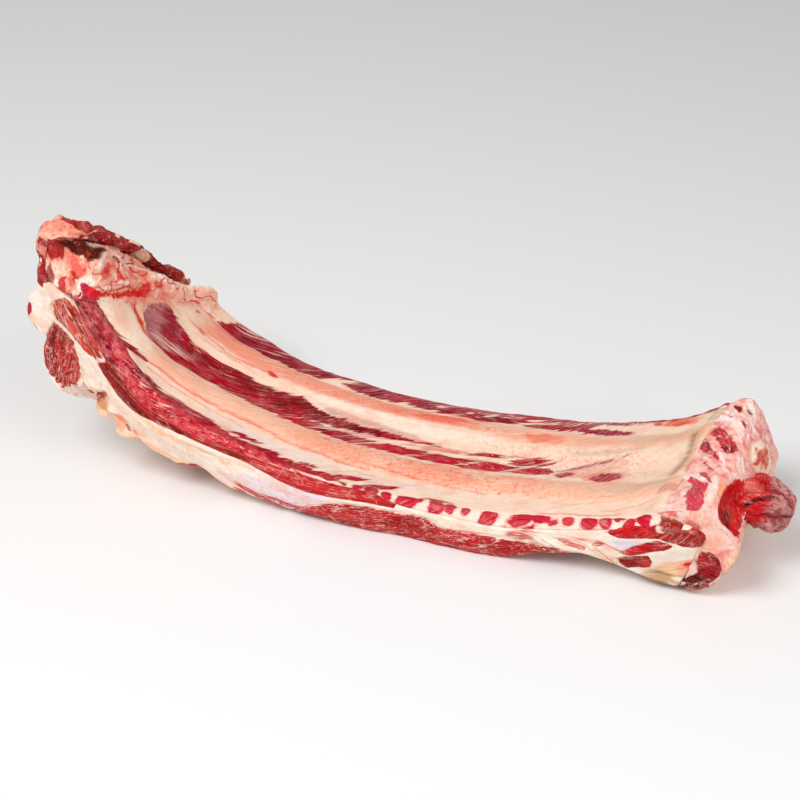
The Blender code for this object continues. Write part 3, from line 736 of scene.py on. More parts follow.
def meat_of_bone_side(s, y, streaky):
    """Signed width of the lean meat on the bone side, in mm: positive in meat, negative in bone."""
    upper = hermite(MIDDLE_TOP, s)
    lower = hermite(MIDDLE_LOW, s)
    tip = 76 + 9 * ((y + 7) / 17) ** 2
    under = np.where(s > 200, hermite(BAND_LOW, s), lower)
    band = np.minimum(np.minimum(upper - y, y - under), (s - tip) * 0.9) - 9 * ease(330, 345, s)
    # slanted gaps cut the lower half into tongues
    tongues = np.minimum(np.minimum(0.6 - y, y - lower), (s - 185) * 0.5) - 9 * ease(418, 426, s)
    for start in TONGUE_STARTS:
        u = (s - start) * 0.87 + (y + 10.5) * 0.5
        v = (y + 10.5) * 0.87 - (s - start) * 0.5
        gap = np.abs(v) - (0.3 + 0.055 * np.clip(u, 0, 34)) + 9 * ease(30, 42, u) + 9 * ease(0, -5, u)
        tongues = np.minimum(tongues, gap)
    lean = np.maximum(band, tongues)
    rear = np.minimum(y - hermite(REAR_LOW, s), (s - hermite(REAR_LEFT, y)) * 0.8)
    rear = np.minimum(rear, -3 * patch(s, y, (234, 56.5), (17, 2.6), 20)) - 9 * ease(284, 292, s)
    lean = np.maximum(lean, rear)
    # farther on the rear meat shows in streaks through the membrane
    thin = np.minimum(y - hermite(REAR_THIN, s), 70 - y) * 0.6
    thin = np.minimum(thin, 0.2 + 3.4 * streaky) - 9 * ease(282, 270, s) - 6 * ease(430, 475, s)
    lean = spots(np.maximum(lean, thin), s, y, 0.8 * streaky, TOP_SPOTS)
    # near margin: one crimson tongue, and the meat that comes over the edge
    tongue = np.minimum(hermite(TONGUE_TOP, s) - y, y - hermite(TONGUE_LOW, s))
    margin = hermite(MARGIN, s) - y + 1.6 * streaky * ease(165, 180, s)
    lean = np.maximum(lean, tongue + 0.8 - 9 * ease(101, 106, s))
    return np.maximum(lean, margin - 9 * ease(90, 82, s) - 9 * ease(262, 290, s))


def meat_of_cut(s, d, rough, shift):
    """The same on a cut face: a whole strip at first, separate blocks between white walls farther on."""
    seam = hermite(INNER_BASE, s) - 0.9 - 0.8 * ease(86, 78, s)
    strip = np.minimum(np.minimum(seam - d, d + 9), (s - 28 - shift) * 0.8)
    blocks = np.minimum(spots(-4 + 0 * s, s - shift * 0.4, d, rough, CUT_SPOTS), seam + 0.5 - d)
    return np.where(s > BLOCKS_FROM, blocks, strip) + 0 * rough


def bone_side_paint(s, y, d, sigma):
    """Fields of the bone side and of the cut faces just below its edges."""
    p = np.stack([s, y, d], -1)
    cloud = grain(p, 26, 5)
    mottle = grain(p, (7, 4, 5), 6)
    streaky = grain(turned(s, y, d, 24), (46, 2.8, 3), 8, 2)
    fine = grain(p, (3.4, 2.4, 2.6), 9)
    near = ease(-56.2, -58.2, y)
    far = ease(64.3, 66.2, y)
    cuts = near + far
    top = 1 - near - far
    rough = 1.1 * mottle + 0.8 * fine
    lean = meat_of_bone_side(s, y, streaky) * top
    lean = lean + near * meat_of_cut(s, d, rough, 0) + far * meat_of_cut(s, d, rough, FAR_SHIFT)
    meat = stain(CRIMSON, (CRIMSON_DEEP, 0.8 * ease(0.1, 0.7, cloud)))
    meat = dabs(meat, s, y, 0.3 * mottle + 0.3 * streaky, CRIMSONS)
    meat = stain(meat, (PURPLE, 0.45 * ease(46, 56, y + 4 * mottle)),
                 (PURPLE_GREY, 0.45 * ease(58, 67, y + 4 * mottle + 3 * streaky)))
    cut = stain(CRIMSON_LIGHT, (CRIMSON, 0.8 * ease(0.0, 0.6, cloud + 0.5 * mottle)),
                (RED_PINK, 0.35 * ease(0.1, 0.8, mottle) * ease(60, 100, s)))
    cut = dabs(cut, s, d, 0.3 * mottle, CUT_TONES)
    strip = 0.6 * ease(245, 215, s)
    cut = stain(cut, ((238, 112, 108), strip * ease(0.1, 0.5, fine + 0.3 * cloud)),
                ((112, 6, 30), strip * ease(0.1, 0.5, -fine - 0.3 * cloud)),
                ((206, 24, 52), 0.5 * ease(236, 250, s) * ease(470, 440, s)))
    meat = stain(meat, (cut, np.maximum(ease(-54, -58, y), far) * ease(-4, 1, d + 2.5 * mottle)))
    # bone and membrane
    rib1 = np.minimum(y - hermite(RIB1_NEAR, s), hermite(RIB1_FAR, s) - y)
    rib2 = np.minimum(y - hermite(PINK_NEAR, s), hermite(RIB2_FAR, s) - 1 - y)
    rim = np.abs(np.hypot(s - 84, (y + 7) / 1.55) - 13.0)
    pale = stain(CREAM, (PEACH, ease(-3, 4, rib1 + 2 * mottle) * 0.65),
                 ((255, 236, 214), ease(112, 76, s) * ease(-4, 1, rib1) * 0.9),
                 (BONE_PINK, ease(-3.5, 2, rib2 + mottle) * ease(106, 134, s) * ease(366, 345, s) * 0.75),
                 (PEACH, ease(-3, 4, rib2 + 2 * mottle) * ease(345, 366, s) * 0.6),
                 (PEACH, 0.7 * ease(4, 1, rim) * ease(96, 84, s)))
    pale = dabs(pale, s, y, 0.3 * mottle + 0.15 * streaky, PALES)
    pale = strokes(pale, s, y + 0.9 * mottle, LINES)
    # breast end: the membrane folds; painted grey shade along the fold and a painted tan shadow beside it
    shadow = ease(6.5, 2.5, ridge_away(sigma, y, 5)) * ease(-12, -4, y) * ease(40, 30, y)
    pale = stain(pale, (RUST, 0.45 * ease(8, 0, sigma - 26 + 3 * mottle) * top),
                 ((164, 126, 104), 0.75 * ease(6.5, 0.5, fold_away(sigma, y) + 0.8 * mottle)),
                 (TAN, 0.5 * shadow),
                 ((252, 226, 214), 0.9 * cuts * ease(-2, 1, d + mottle)),
                 ((240, 140, 130), 0.8 * cuts * ease(-1.6, -0.1, lean + 0.8 * mottle)))
    # rust specks between the ribs, stipple on the bones
    blush = 0.25 + 0.9 * ease(-3, 2, rib1) * ease(180, 290, s) * ease(470, 400, s)
    blush = blush + 0.8 * ease(-2, 3, rib2) * ease(150, 260, s) * ease(420, 350, s)
    blush = blush + 0.6 * ease(-14, -6, y) * ease(30, 20, y) * ease(340, 385, s) * ease(505, 480, s)
    cut_blush = 0.40 + 0.5 * ease(56, 90, s) * ease(245, 215, s)
    blush = (blush + 0.8 * ease(44, 30, sigma)) * top + cut_blush * (1 - top)
    # streaks of membrane over the meat
    veil = 0.27 + 0.14 * cloud + 0.06 * ease(170, 215, s) * ease(4, -10, y) + 0.12 * ease(54, 66, y)
    veil = veil + 0.1 * ease(-45, -52, y) * ease(200, 280, s) + 0.06 * ease(300, 400, s)
    for most, rim_at, place_at, size, turn in ((0.14, 0.5, (250, 2), (60, 6), 8),
                                               (0.1, 0.5, (150, 60), (26, 8), 0),
                                               (0.30, 0.6, (104, -15), (34, 8), 20),
                                               (0.16, 0.6, (160, -6), (50, 5), 6)):
        veil = veil + most * ease(0, rim_at, patch(s, y, place_at, size, turn))
    cut_veil = 0.26 + 0.2 * mottle + 0.14 * ease(0, 0.6, patch(s, d, (112, 5), (40, 8), -4))
    veil = veil * top + cut_veil * (1 - top)
    slant = 25 * top - 6 * (1 - top) + 3 * np.sin(s / 37) + 4 * ease(160, 90, s) * top
    along = turned(s, np.where(cuts > 0.5, d, y), 0 * s, slant)
    return fields_of(along, lean, meat, pale, veil, 0.25 + 0.75 * top, blush), p, mottle, streaky


def bone_side():
    """Rings across the rack: the bone side, the far cut, the hidden underside and the near cut."""
    sigma = np.linspace(23.0, 511.5, 440)[:, None]
    base = hermite(INNER_BASE, sigma)
    depth = np.linspace(0, 1, 16)[None, 1:-1] * base
    top = np.linspace(0, 1, 120)[None]
    low = np.linspace(1, 0, 14)[None]
    edge = 0 * base
    y = np.concatenate([across(edge - 1, top), edge_far(depth - 1), across(base - 1, low),
                        edge_near(depth - 1)[:, ::-1]], 1)
    d = np.concatenate([0 * top + edge, depth, base + 0.3 + 0 * low, depth[:, ::-1]], 1)
    y, d = relax(y, d, 2)
    sigma = sigma + 0 * y
    s = skewed(sigma, y, d)
    fields, p, mottle, streaky = bone_side_paint(s, y, d, sigma)
    lean = fields["lean"]
    height = bone_relief(s, np.clip(y, FRONT, REAR)) * ease(-60, -50, y) * ease(67, 57, y)
    height = height + 0.5 * grain(p, 14, 31, 2) + 0.5 * streaky * ease(-0.5, 0.5, lean) + 0.25 * streaky
    # the round end of the middle muscle stands in a pocket with a raised rim
    pocket = np.hypot((s - 92) / 1.35, y + 7)
    height = height + 1.8 * ease(5, 0, np.abs(pocket - 16)) * ease(92, 76, s)
    height = height - 1.2 * ease(4, 0, np.abs(pocket - 12.5)) * ease(94, 80, s)
    height = height - 1.8 * ease(3.4, 0, fold_away(sigma, y)) + 1.0 * ease(5.5, 1.5, ridge_away(sigma, y, 6))
    height = height - 2.5 * ease(508, 511.5, sigma) - 3.5 * ease(27, 23, sigma)
    swell = 1.0 * ease(-0.35, 0.7, lean) + 0.4 * grain(p, 5, 33, 2) + 0.2 * mottle
    d = d - height * ease(4, 0, d) * ease(-63, -55, y) * ease(69, 61, y)
    swell = swell * ease(-1.5, 2.5, d)
    y = y - 0.9 * swell * ease(-57, -62, y) + 0.6 * swell * ease(64, 67, y)
    nodes = ("rib_front", "rib_rear", "intercostal_front", "intercostal_middle", "intercostal_rear")
    return skin("bone_side", place(s, y, d), nodes, fields,
                flesh("bone_side", fibre=0.85, marbling=0.2, feather=0.8))


# the layers under the ribs: each fills the space between two depths, from cut side to cut side


def layer(name, sigma, top, low, paint, finish, faces=30, under=48, bulge=0.8):
    """Rings of a layer: near face, underside, far face and the hidden top, with rounded corners."""
    top = top[:, None]
    low = low[:, None]
    down = top + (low - top) * np.linspace(0, 1, faces)[None]
    up = down[:, ::-1]
    f = np.linspace(0, 1, under)[None, 1:-1]
    back = np.linspace(1, 0, 12)[None, 1:-1]
    y = np.concatenate([edge_near(down), across(low, f), edge_far(up), across(top, back)], 1)
    d = np.concatenate([down, low + 0 * f, up, top + 0 * back], 1)
    y, d = relax(y, d, 1)
    sigma = sigma[:, None] + 0 * y
    s = skewed(sigma, y, d)
    fields, height = paint(np.stack([s, y, d], -1))
    near = ease(-50, -58, y)
    far = ease(56, 62, y)
    under_side = (1 - near) * (1 - far) * ease(0.5, 0.9, (d - top) / np.maximum(low - top, 0.5))
    dome = bulge * ease(0, 2.0, np.minimum(d - top, low - d)) - 0.4
    y = y + (far - near) * (height + dome)
    d = d - under_side * height * 0.8
    return skin(name, place(s, y, d), (name,), fields, finish)


def cut_faces(y):
    """One on the near cut face, and one on the far one."""
    return ease(-50, -57, y), ease(56, 61, y)


def layer_along(p, slant):
    """Fibres of a cut layer run along the rack."""
    s, y, d = np.moveaxis(p, -1, 0)
    face = np.maximum(*cut_faces(y))
    return turned(s, d * face + y * (1 - face), (y * face + d * (1 - face)) * 0.5, slant)


def cover_paint(p):
    """Dark brown-red under the backbone end, brick red farther on, with long ridges."""
    s, y, d = np.moveaxis(p, -1, 0)
    ridges = grain(p, (34, 5, 2.2), 41, 3)
    mottle = grain(p, (9, 4, 3), 42)
    top = d - hermite(INNER_BASE, s)
    low = hermite(COVER_BASE, s) - d
    meat = stain(
        (190, 30, 28), (BROWN_RED, 0.95 * ease(214, 190, s + 8 * mottle)),
        ((112, 12, 8), 0.9 * ease(0.25, -0.3, ridges) * ease(205, 150, s)),
        ((190, 36, 20), 0.5 * ease(0.3, 0.6, ridges) * ease(215, 150, s)),
        ((206, 62, 26), 0.5 * ease(1.0, 0.2, np.minimum(top, low) + 0.9 * mottle) * ease(215, 160, s)),
        (DUSKY_PINK, 0.4 * ease(0.1, 0.8, ridges + 0.5 * mottle) * ease(190, 215, s)))
    pale = stain(FAT_WHITE, (RED_PINK, 0.5 * ease(0.0, 0.7, mottle)))
    rim = np.minimum(top + 0.3, low - 0.4)
    lean = np.minimum(rim, (s - 84) * 0.3) + 0.4 - 2.6 * ease(0.70, 0.95, ridges) * ease(120, 150, s)
    height = 0.8 * ridges + 0.25 * mottle + 0.25 * grain(p, 4, 43, 2)
    return fields_of(layer_along(p, -4), lean, meat, pale, 0.22 + 0.14 * mottle, 0.35, 0.4), height


OUTER_TONES = (
    (395, 24, 34, 8, -8, (172, 16, 14), 0.85), (372, 24, 24, 6.4, -14, (198, 30, 30), 0.9),
    (325, 19, 46, 5, 0, (184, 22, 26), 0.75), (432, 25.5, 14, 4.6, -14, (110, 40, 16), 0.85),
    (270, 30, 22, 8, -10, BROWN_RED, 0.35), (352, 15.0, 5.6, 2.2, 0, (226, 110, 96), 0.9),
    (350, 33, 70, 5, 2, (186, 52, 46), 0.8), (290, 30, 40, 5, 2, (196, 58, 52), 0.7),
    (410, 29.5, 30, 4, -6, (176, 44, 40), 0.7))
LENS_SEAM = ((338, 31), (352, 33), (362, 29), (372, 22), (392, 18), (404, 17))


def outer_paint(p):
    """Brick-red meat with pale seams, a dusky pink lower band and two paler lenses."""
    s, y, d = np.moveaxis(p, -1, 0)
    mottle = grain(p, (8, 5, 4), 51)
    cloud = grain(p, (26, 18, 10), 52)
    bands = grain(turned(s, d, y, -12), (44, 5, 18), 54)
    meat = stain((196, 40, 38), ((210, 80, 72), 0.5 * ease(0.0, 0.7, cloud + 0.4 * mottle)))
    meat = dabs(meat, s, d, 0.3 * mottle, OUTER_TONES)
    meat = stain(meat, ((146, 12, 12), 0.55 * ease(0.0, 0.5, -cloud - 0.5 * mottle)),
                 ((214, 92, 84), 0.5 * ease(0.2, 0.7, mottle - 0.3 * cloud)),
                 ((150, 8, 12), 0.65 * ease(0.1, 0.5, bands)))
    pale = stain(FAT_WHITE, (PALE_PINK, 0.7 * ease(-0.2, 0.6, mottle)))
    below = d - hermite(OUTER_TOP, s)
    seam = np.abs(d - hermite(LENS_SEAM, s) + 0.6 * mottle)
    seam = np.where((s > LENS_SEAM[0][0]) & (s < 405), seam - 0.35, 9.0) + 0.5
    lean = np.minimum(below - 0.4 + 1.6 * cloud * ease(300, 250, s), seam)
    lean = np.where(y > 40, below - 0.7, lean)
    lens = np.abs(patch(s, d, (373, 24), (23, 6.6), -14)) * 6.6
    lens = np.minimum(lens, np.abs(patch(s, d, (352, 15.0), (6, 2.4))) * 2.4)
    lean = np.minimum(lean, lens + 0.5 * mottle - 0.1)
    height = 0.8 * cloud + 0.45 * mottle + 0.2 * grain(p, 3.2, 53, 2) - 0.9 * bands
    veil = 0.22 + 0.16 * mottle + 0.1 * cloud
    return fields_of(layer_along(p, -14), lean, meat, pale, veil, 0.35, 0.75), height


FAT_TONES = (
    (108, 47, 10, 5, 76, TAN, 1), (105, 43, 9, 2.4, 80, BROWN_RED, 0.9),
    (121, 46, 9, 5, 80, (246, 170, 130), 0.8), (122, 41, 3, 6, 80, RUST, 0.6),
    (131, 43, 5, 2, 50, RUST, 0.7), (149, 45, 14, 3, 0, (244, 190, 150), 0.7),
    (412, 16, 13, 5, 8, FAT_WHITE, 0.9), (449, 20.5, 13, 4.2, 22, FAT_WHITE, 0.9),
    (423, 22, 10, 2.6, 30, OLIVE_TAN, 0.5), (236, 22, 44, 12, -8, (232, 214, 224), 0.8),
    (205, 33, 20, 5, 0, PALE_PINK, 0.5), (487, 19.5, 15, 4.8, 6, (224, 214, 228), 0.9),
    (503, 51, 14, 9, 24, OLIVE_TAN, 0.85), (503, 47.5, 10, 2.2, 30, (140, 104, 52), 0.8),
    (497, 55, 12, 2.6, 34, (128, 92, 44), 0.75), (507, 54, 4, 2.4, 30, FAT_WHITE, 0.9),
    (512, 45, 14, 8, 20, FAT_PEACH, 0.9), (517, 47, 8, 6, 30, RED_PINK, 0.55),
    (515.5, 43.4, 2.4, 1.8, 0, BLOOD, 1), (433, 20, 11, 1.6, -38, (255, 250, 244), 0.9),
    (470, 31, 12, 5, 40, FAT_PEACH, 0.5), (456, 16, 14, 3, 6, PALE_PINK, 0.6),
    (445, 30, 14, 4, 10, CREAM, 0.6), (462, 40, 8, 6, 50, OLIVE_TAN, 0.4),
    (145, 22, 30, 2.6, -8, FAT_PEACH, 0.8), (172, 17.5, 20, 1.6, -4, TAN, 0.5),
    (100, 27, 10, 3, 50, FAT_PEACH, 0.5), (150, 45, 24, 3, -4, FAT_PEACH, 0.6))
FAT_SPOTS = (
    (163, 45.5, 8, 1.3, -38), (171, 40.5, 6, 2.6, -40), (182, 39.5, 9, 1.2, 16), (193, 41.5, 7, 0.9, 0),
    (207, 37.5, 5, 1.5, -6), (212, 33, 12, 2.4, 0), (224, 35, 16, 2.4, 4), (233, 30, 14, 2.0, -4),
    (103.5, 46, 7, 1.5, 80), (127, 44, 4, 1.0, 50), (243, 31, 12, 2.4, -8), (467, 19, 4.2, 2.4, -10),
    (412, 15.5, 11, 3.4, 8), (449, 20.5, 11, 2.6, 22), (420, 11.5, 8, 0.9, 4), (456, 15.5, 8, 1.0, 16),
    (250, 9.4, 16, 0.8, 2), (281, 8.6, 14, 0.7, 2))
FAT_LINES = (
    (((465, 24), (467, 27), (472.5, 35.5), (477.5, 44)), 2.6, BROWN_RED, 0.95),
    (((466, 16), (468.5, 17), (476, 22.5), (488.5, 28.5)), 3.0, (176, 40, 26), 0.95),
    (((470, 21), (478, 30), (482, 40)), 1.8, (236, 150, 128), 0.9),
    (((424, 14), (433, 20), (444, 27.5)), 2.6, (255, 250, 244), 1.0),
    (((426, 17), (434, 23), (443, 29)), 2.0, OLIVE_TAN, 0.8),
    (((399, 13), (412, 11.2), (424, 14.5)), 1.4, (226, 130, 110), 0.8),
    (((436, 16), (448, 16.5), (458, 21), (462, 26)), 1.5, (196, 110, 84), 0.9))


def under_edge(s):
    """Depth where the fat ends: on the outer muscle, or at the underside."""
    return np.where((s > OUTER_SPAN[0]) & (s < OUTER_SPAN[1]), hermite(OUTER_TOP, s), hermite(BASE, s))


def fat_paint(p):
    """Cream fat, tan beside the muscle, with torn edges, red threads, a bluish film and an olive end."""
    s, y, d = np.moveaxis(p, -1, 0)
    mottle = grain(p, (8, 6, 5), 61)
    cloud = grain(p, (30, 24, 12), 62)
    fine = grain(p, (4.5, 4.5, 2.4), 63)
    above = under_edge(s) - d
    near, far = cut_faces(y)
    under = (1 - near) * (1 - far)
    on_near = np.where(y < 0, d, -99)
    pale = stain(FAT_WHITE, (CREAM, 0.6 * ease(-0.3, 0.6, cloud)),
                 (FAT_PEACH, 0.7 * ease(6, 0, above + 3 * mottle) * ease(240, 200, s)))
    pale = dabs(pale, s, on_near, 0.3 * mottle + 0.2 * fine, FAT_TONES)
    pale = stain(pale, (FAT_PEACH, 0.5 * under * ease(-0.2, 0.7, mottle)))
    pale = strokes(pale, s, on_near + 0.7 * fine, FAT_LINES)
    lean = spots(-6 + 0 * s, s, on_near, 0.9 * fine - 0.2, FAT_SPOTS)
    patches = ease(0.35, 0.75, grain(p, (26, 13, 9), 66, 2)) * 3.0 - 1.4
    lean = np.maximum(lean, np.where((under > 0.5) | (y > 20), patches, -6))
    meat = stain(BRICK, (BROWN_RED, 0.8 * ease(190, 160, s)),
                 ((204, 92, 106), 0.8 * ease(200, 214, s) * ease(300, 250, s)),
                 ((232, 140, 120), 0.85 * ease(396, 402, s) * ease(470, 462, s)))
    height = 0.7 * cloud + 0.5 * mottle + 0.3 * fine
    scallops = ease(0.0, 0.6, np.sin(s / 4.4 + 3 * cloud))
    height = height + 1.7 * scallops * ease(12, 2, above) * ease(170, 130, s)
    height = height - 1.6 * ease(0, 0.5, patch(s, d, (104, 44), (8, 4), 76)) * near
    pieces = (BREAST_UPPER, BREAST_LOWER, BREAST_CHUNK, CORNER_MEAT)
    strands = np.max([area(s, d, outline) for outline in pieces], axis=0)
    height = height - 2.6 * ease(-0.6, 0.8, strands) * near
    blush = 0.3 + 0.3 * ease(0, 0.6, cloud)
    return fields_of(layer_along(p, 0), lean, meat, pale, 0.4 + 0.25 * fine, 0.3, blush), height


def layers():
    """The cover muscle, the outer muscle and the fat, between the borders that the solids use."""
    sigma = np.linspace(71, 317.4, 236)
    top = hermite(INNER_BASE, sigma) - 0.5
    low = np.maximum(hermite(COVER_BASE, sigma) + 0.2, top + 1.0)
    low = top + 0.6 + (low - top - 0.6) * ease(71, 80, sigma)
    finish = flesh("cover_muscle", 0.9, 0.35, 0.3, relief=0.9)
    layer("cover_muscle", sigma, top, low, cover_paint, finish, faces=20)
    sigma = np.linspace(243.5, OUTER_SPAN[1], 200)
    top = hermite(OUTER_TOP, sigma) - 0.4
    low = np.maximum(hermite(BASE, sigma), top + 1.0)
    finish = flesh("outer_muscle", 0.8, 0.9, 0.4, relief=0.85)
    layer("outer_muscle", sigma, top, low, outer_paint, finish, faces=34)
    sigma = np.concatenate([np.linspace(73.4, 77, 6)[:-1], np.linspace(77, 532.6, 440)])
    edge = np.asarray(END_EDGE, float)
    inner = hermite(INNER_BASE, sigma)
    top = np.where(sigma < COVER_END, np.maximum(hermite(COVER_BASE, sigma), inner + 1.5) - 0.4, inner - 0.5)
    top = np.where(sigma > 505, hermite(edge[:4], sigma), top)
    outer = (sigma > OUTER_SPAN[0]) & (sigma < OUTER_SPAN[1])
    low = np.where(sigma > 503, hermite(edge[:2:-1], sigma), under_edge(sigma) + 0.3 * outer)
    low = np.convolve(np.pad(low, 1, mode="edge"), np.ones(3) / 3, "valid")
    start = np.sqrt(np.clip((sigma - 73.2) / 3.6, 0, 1))
    top = 32 + (top - 32) * start
    low = np.maximum(32 + (low - 32) * start, top + 0.6)
    layer("fat_cover", sigma, top, low, fat_paint, flesh("fat_cover", 0.7, 0.2, 0.35, relief=0.6, soft=0.2),
          faces=44, under=60)


# end pieces: one outline in (near-side s, d), carried from cut side to cut side

BREAST_UPPER = (
    (474, 9), (482, 6.5), (498, 6), (510, 8), (520, 11), (527, 15), (533, 20.5), (535, 27), (529, 31),
    (524, 29.5), (517, 20), (510, 16.5), (497, 14), (483, 13.5))
BREAST_LOWER = ((480, 27.5), (490, 22.5), (499, 19.5), (508, 18.5), (515, 25), (508, 26.5), (499, 26),
                (488, 29))
BREAST_CHUNK = ((477, 33), (484, 30.5), (498, 30), (498, 36), (495, 41), (486, 41), (480, 43))
CORNER_MEAT = (
    (521, 40), (527, 37), (532, 40), (533, 48), (531, 56), (528, 61), (522, 65), (512, 65), (506, 61),
    (510, 55), (518, 53), (520, 47))
CHINE_BONE = (
    (36, 1.5), (27, -2.5), (12, -8), (-2, -7), (-17, -3), (-17, 9), (-12, 20), (0, 25), (14, 27),
    (20, 15), (34, 10))
CHINE_MEAT = (
    (-18, -5), (-21, -13), (-27, -13), (-30, -4), (-30, 12), (-22, 21), (-12, 25), (0, 26), (5, 28),
    (12, 37), (19, 33), (12, 26), (0, 22), (-13, 19), (-17, 8))
CHINE_FAT = (
    (12, 32), (14, 24), (20, 20), (28, 15), (40, 12.5), (60, 14), (80, 18), (94, 26), (101, 34),
    (102, 42), (98, 48), (90, 51), (72, 47), (58, 52), (48, 58), (40, 60), (31, 58), (24, 54), (19, 50),
    (16, 44), (13, 38))
LOIN_MUSCLE = (
    (30, 34), (28.5, 26), (29, 18), (34, 13.5), (42, 14), (50, 14.3), (62, 15), (72, 15.8), (78, 17),
    (82, 21.5), (76, 25.5), (66, 29), (56, 30.5), (48, 33), (42, 37.5), (35, 38))
LOIN_FLAP = (
    (44, 40), (49, 36), (55, 34.5), (62, 32.5), (68, 31.5), (72, 35.5), (77, 40), (83, 44), (88, 49),
    (90, 54), (88, 59), (89, 67), (88, 74), (84, 76), (74, 74), (67, 71), (61, 66), (56, 60), (51, 53),
    (47, 46))
FLAP_EDGE = ((30, 62), (41, 78), (48, 86), (56, 91), (66, 90), (75, 84))
FLAP_STOP = 0.42


def cut_corners(points, axis=0):
    """Corner cutting of a closed outline: each side keeps its middle half."""
    after = np.roll(points, -1, axis)
    both = np.stack([points * 0.75 + after * 0.25, points * 0.25 + after * 0.75], axis + 1)
    return both.reshape(points.shape[:axis] + (-1, points.shape[-1]))


def even(loop, count):
    """A closed loop of points resampled to even spacing."""
    loop = np.concatenate([loop, loop[:1]])
    length = np.r_[0, np.cumsum(np.linalg.norm(np.diff(loop, axis=0), axis=1))]
    at = np.linspace(0, length[-1], count, endpoint=False)
    return np.stack([np.interp(at, length, column) for column in loop.T], -1)


def loop_through(points, count, grow=0.0):
    """Smooth closed curve through the points, a cubic per span, set outwards by grow."""
    b = points[:, None]
    a = np.roll(b, 1, 0)
    c = np.roll(b, -1, 0)
    e = np.roll(b, -2, 0)
    t = np.linspace(0, 1, 12, endpoint=False)[None, :, None]
    curve = 0.5 * (2 * b + (c - a) * t + (2 * a - 5 * b + 4 * c - e) * t ** 2
                   + (3 * b - a - 3 * c + e) * t ** 3)
    curve = even(curve.reshape(-1, 2), count)
    step = np.roll(curve, -1, 0) - np.roll(curve, 1, 0)
    x, y = curve.T
    way_round = np.sign(np.sum(x * np.roll(y, -1) - y * np.roll(x, -1)))
    out = np.c_[step[:, 1], -step[:, 0]] * way_round
    return curve + grow * out / np.linalg.norm(out, axis=1)[:, None]


def chine_slope(sigma, d, f):
    """The backbone end is lower and set farther down at the far side."""
    far = ease(0.3, 1.0, f)
    above = np.maximum(LEFT_S - sigma, 0)
    at = np.where(above > 0, LEFT_S - above * (1 - 0.42 * far), sigma)
    return at, d + 15.0 * far * ease(14, 40, above)


def knobs_of(outline, f, knobs, round_off):
    """Lumps on the outer side and domed cut sides, the same sums of sines as in the solids."""
    from_bone = outline - np.array([3.0, 11.0])
    reach = np.linalg.norm(from_bone, axis=-1)
    turn = np.arctan2(from_bone[..., 1], from_bone[..., 0])
    waves = np.sin(9.0 * f + 2.0 * turn) + 0.6 * np.sin(21.0 * f - 3.0 * turn + 1)
    lift = knobs * ease(29, 36, reach) * waves
    swell = knobs * 1.2 * ease(3, -5, outline[..., 1]) * ease(28, 20, reach) * np.abs(np.sin(7.2 * f + 0.5))
    shape = outline + from_bone / reach[..., None] * (lift + swell)[..., None]
    middle = shape.mean(1, keepdims=True)
    at_ends = ease(0.14, 0, f) ** 2 + ease(0.86, 1, f) ** 2
    return middle + (shape - middle) * (1 - round_off * at_ends)[..., None]


def rod(name, outline, paint, finish, around=120, length=110, caps=14, stop=1.0, knobs=0.0, round_off=0.0,
        grow=0.5, corner=2.0, far_corner=None, proud=0.4):
    """A closed piece: the near cut face as growing outlines, the outline carried across, then the far face.

    Between a cut face and the side the outline turns over a quarter circle of the corner's radius, and
    the cut face is domed by the height called proud.
    """
    shape = loop_through(cut_corners(np.asarray(outline, float)), around, grow)
    reach = np.sqrt(np.prod(np.ptp(shape, axis=0))) / 2
    far_corner = corner if far_corner is None else far_corner
    lost = min(corner / reach, 0.4)
    far_lost = min(far_corner / reach, 0.4)
    arc = np.linspace(0, np.pi / 2, 7)
    back = arc[::-1]
    body = np.linspace(0, 1, length)[1:-1]
    near_face = np.linspace(0.05, 1 - lost, caps)[:-1]
    far_face = np.linspace(0.05, 1 - far_lost, caps)[-2::-1]
    size = np.concatenate([near_face, 1 - lost * (1 - np.sin(arc)), 1 + 0 * body,
                           1 - far_lost * (1 - np.sin(back)), far_face])
    inset = np.concatenate([0 * near_face, corner * (1 - np.cos(arc)), corner + (far_corner - corner) * body,
                            far_corner * (1 - np.cos(back)), 0 * far_face])[:, None]
    f = np.concatenate([0 * near_face, 0 * arc, body, 1 + 0 * arc, 1 + 0 * far_face])
    f = f[:, None] + np.zeros(around)
    own = knobs_of(np.broadcast_to(shape, (len(f),) + shape.shape), f, knobs, round_off)
    middle = own.mean(1, keepdims=True)
    sigma, d = np.moveaxis(middle + (own - middle) * size[:, None, None], -1, 0)
    span = f * stop
    y = across(d, span) + inset * (1 - 2 * f)
    at, deep = chine_slope(sigma, d, span)
    s = skewed(at, y, deep)
    fields, height = paint(np.stack([s, y, deep], -1), sigma, d, span)
    points = place(s, y, deep)
    dome = proud * (1 - np.minimum(size, 1) ** 4)[:, None]
    return skin(name, points + outward(points) * (height + dome)[..., None], (name,), fields, finish)


def rod_along(p, slant):
    """Fibres of an end piece run along its cut face."""
    s, y, d = np.moveaxis(p, -1, 0)
    return turned(s, d, y * 0.4, slant)


def strand_paint(first, second, change, slant, veil):
    """A strand of meat on the cut side: one colour at its start, another beyond the change."""
    def paint(p, sigma, d, f):
        mottle = grain(p, (9, 5, 2.4), 71)
        meat = stain(first, (second, ease(change - 4, change + 5, sigma + 6 * mottle)),
                     (BROWN_DARK, 0.4 * ease(0.2, 0.7, -mottle)))
        height = 0.6 * mottle + 0.3 * grain(p, 3, 72, 2)
        veils = veil + 0.2 * mottle
        return fields_of(rod_along(p, slant), 1.6 + mottle, meat, FAT_WHITE, veils, 0.4, 0.3), height
    return paint


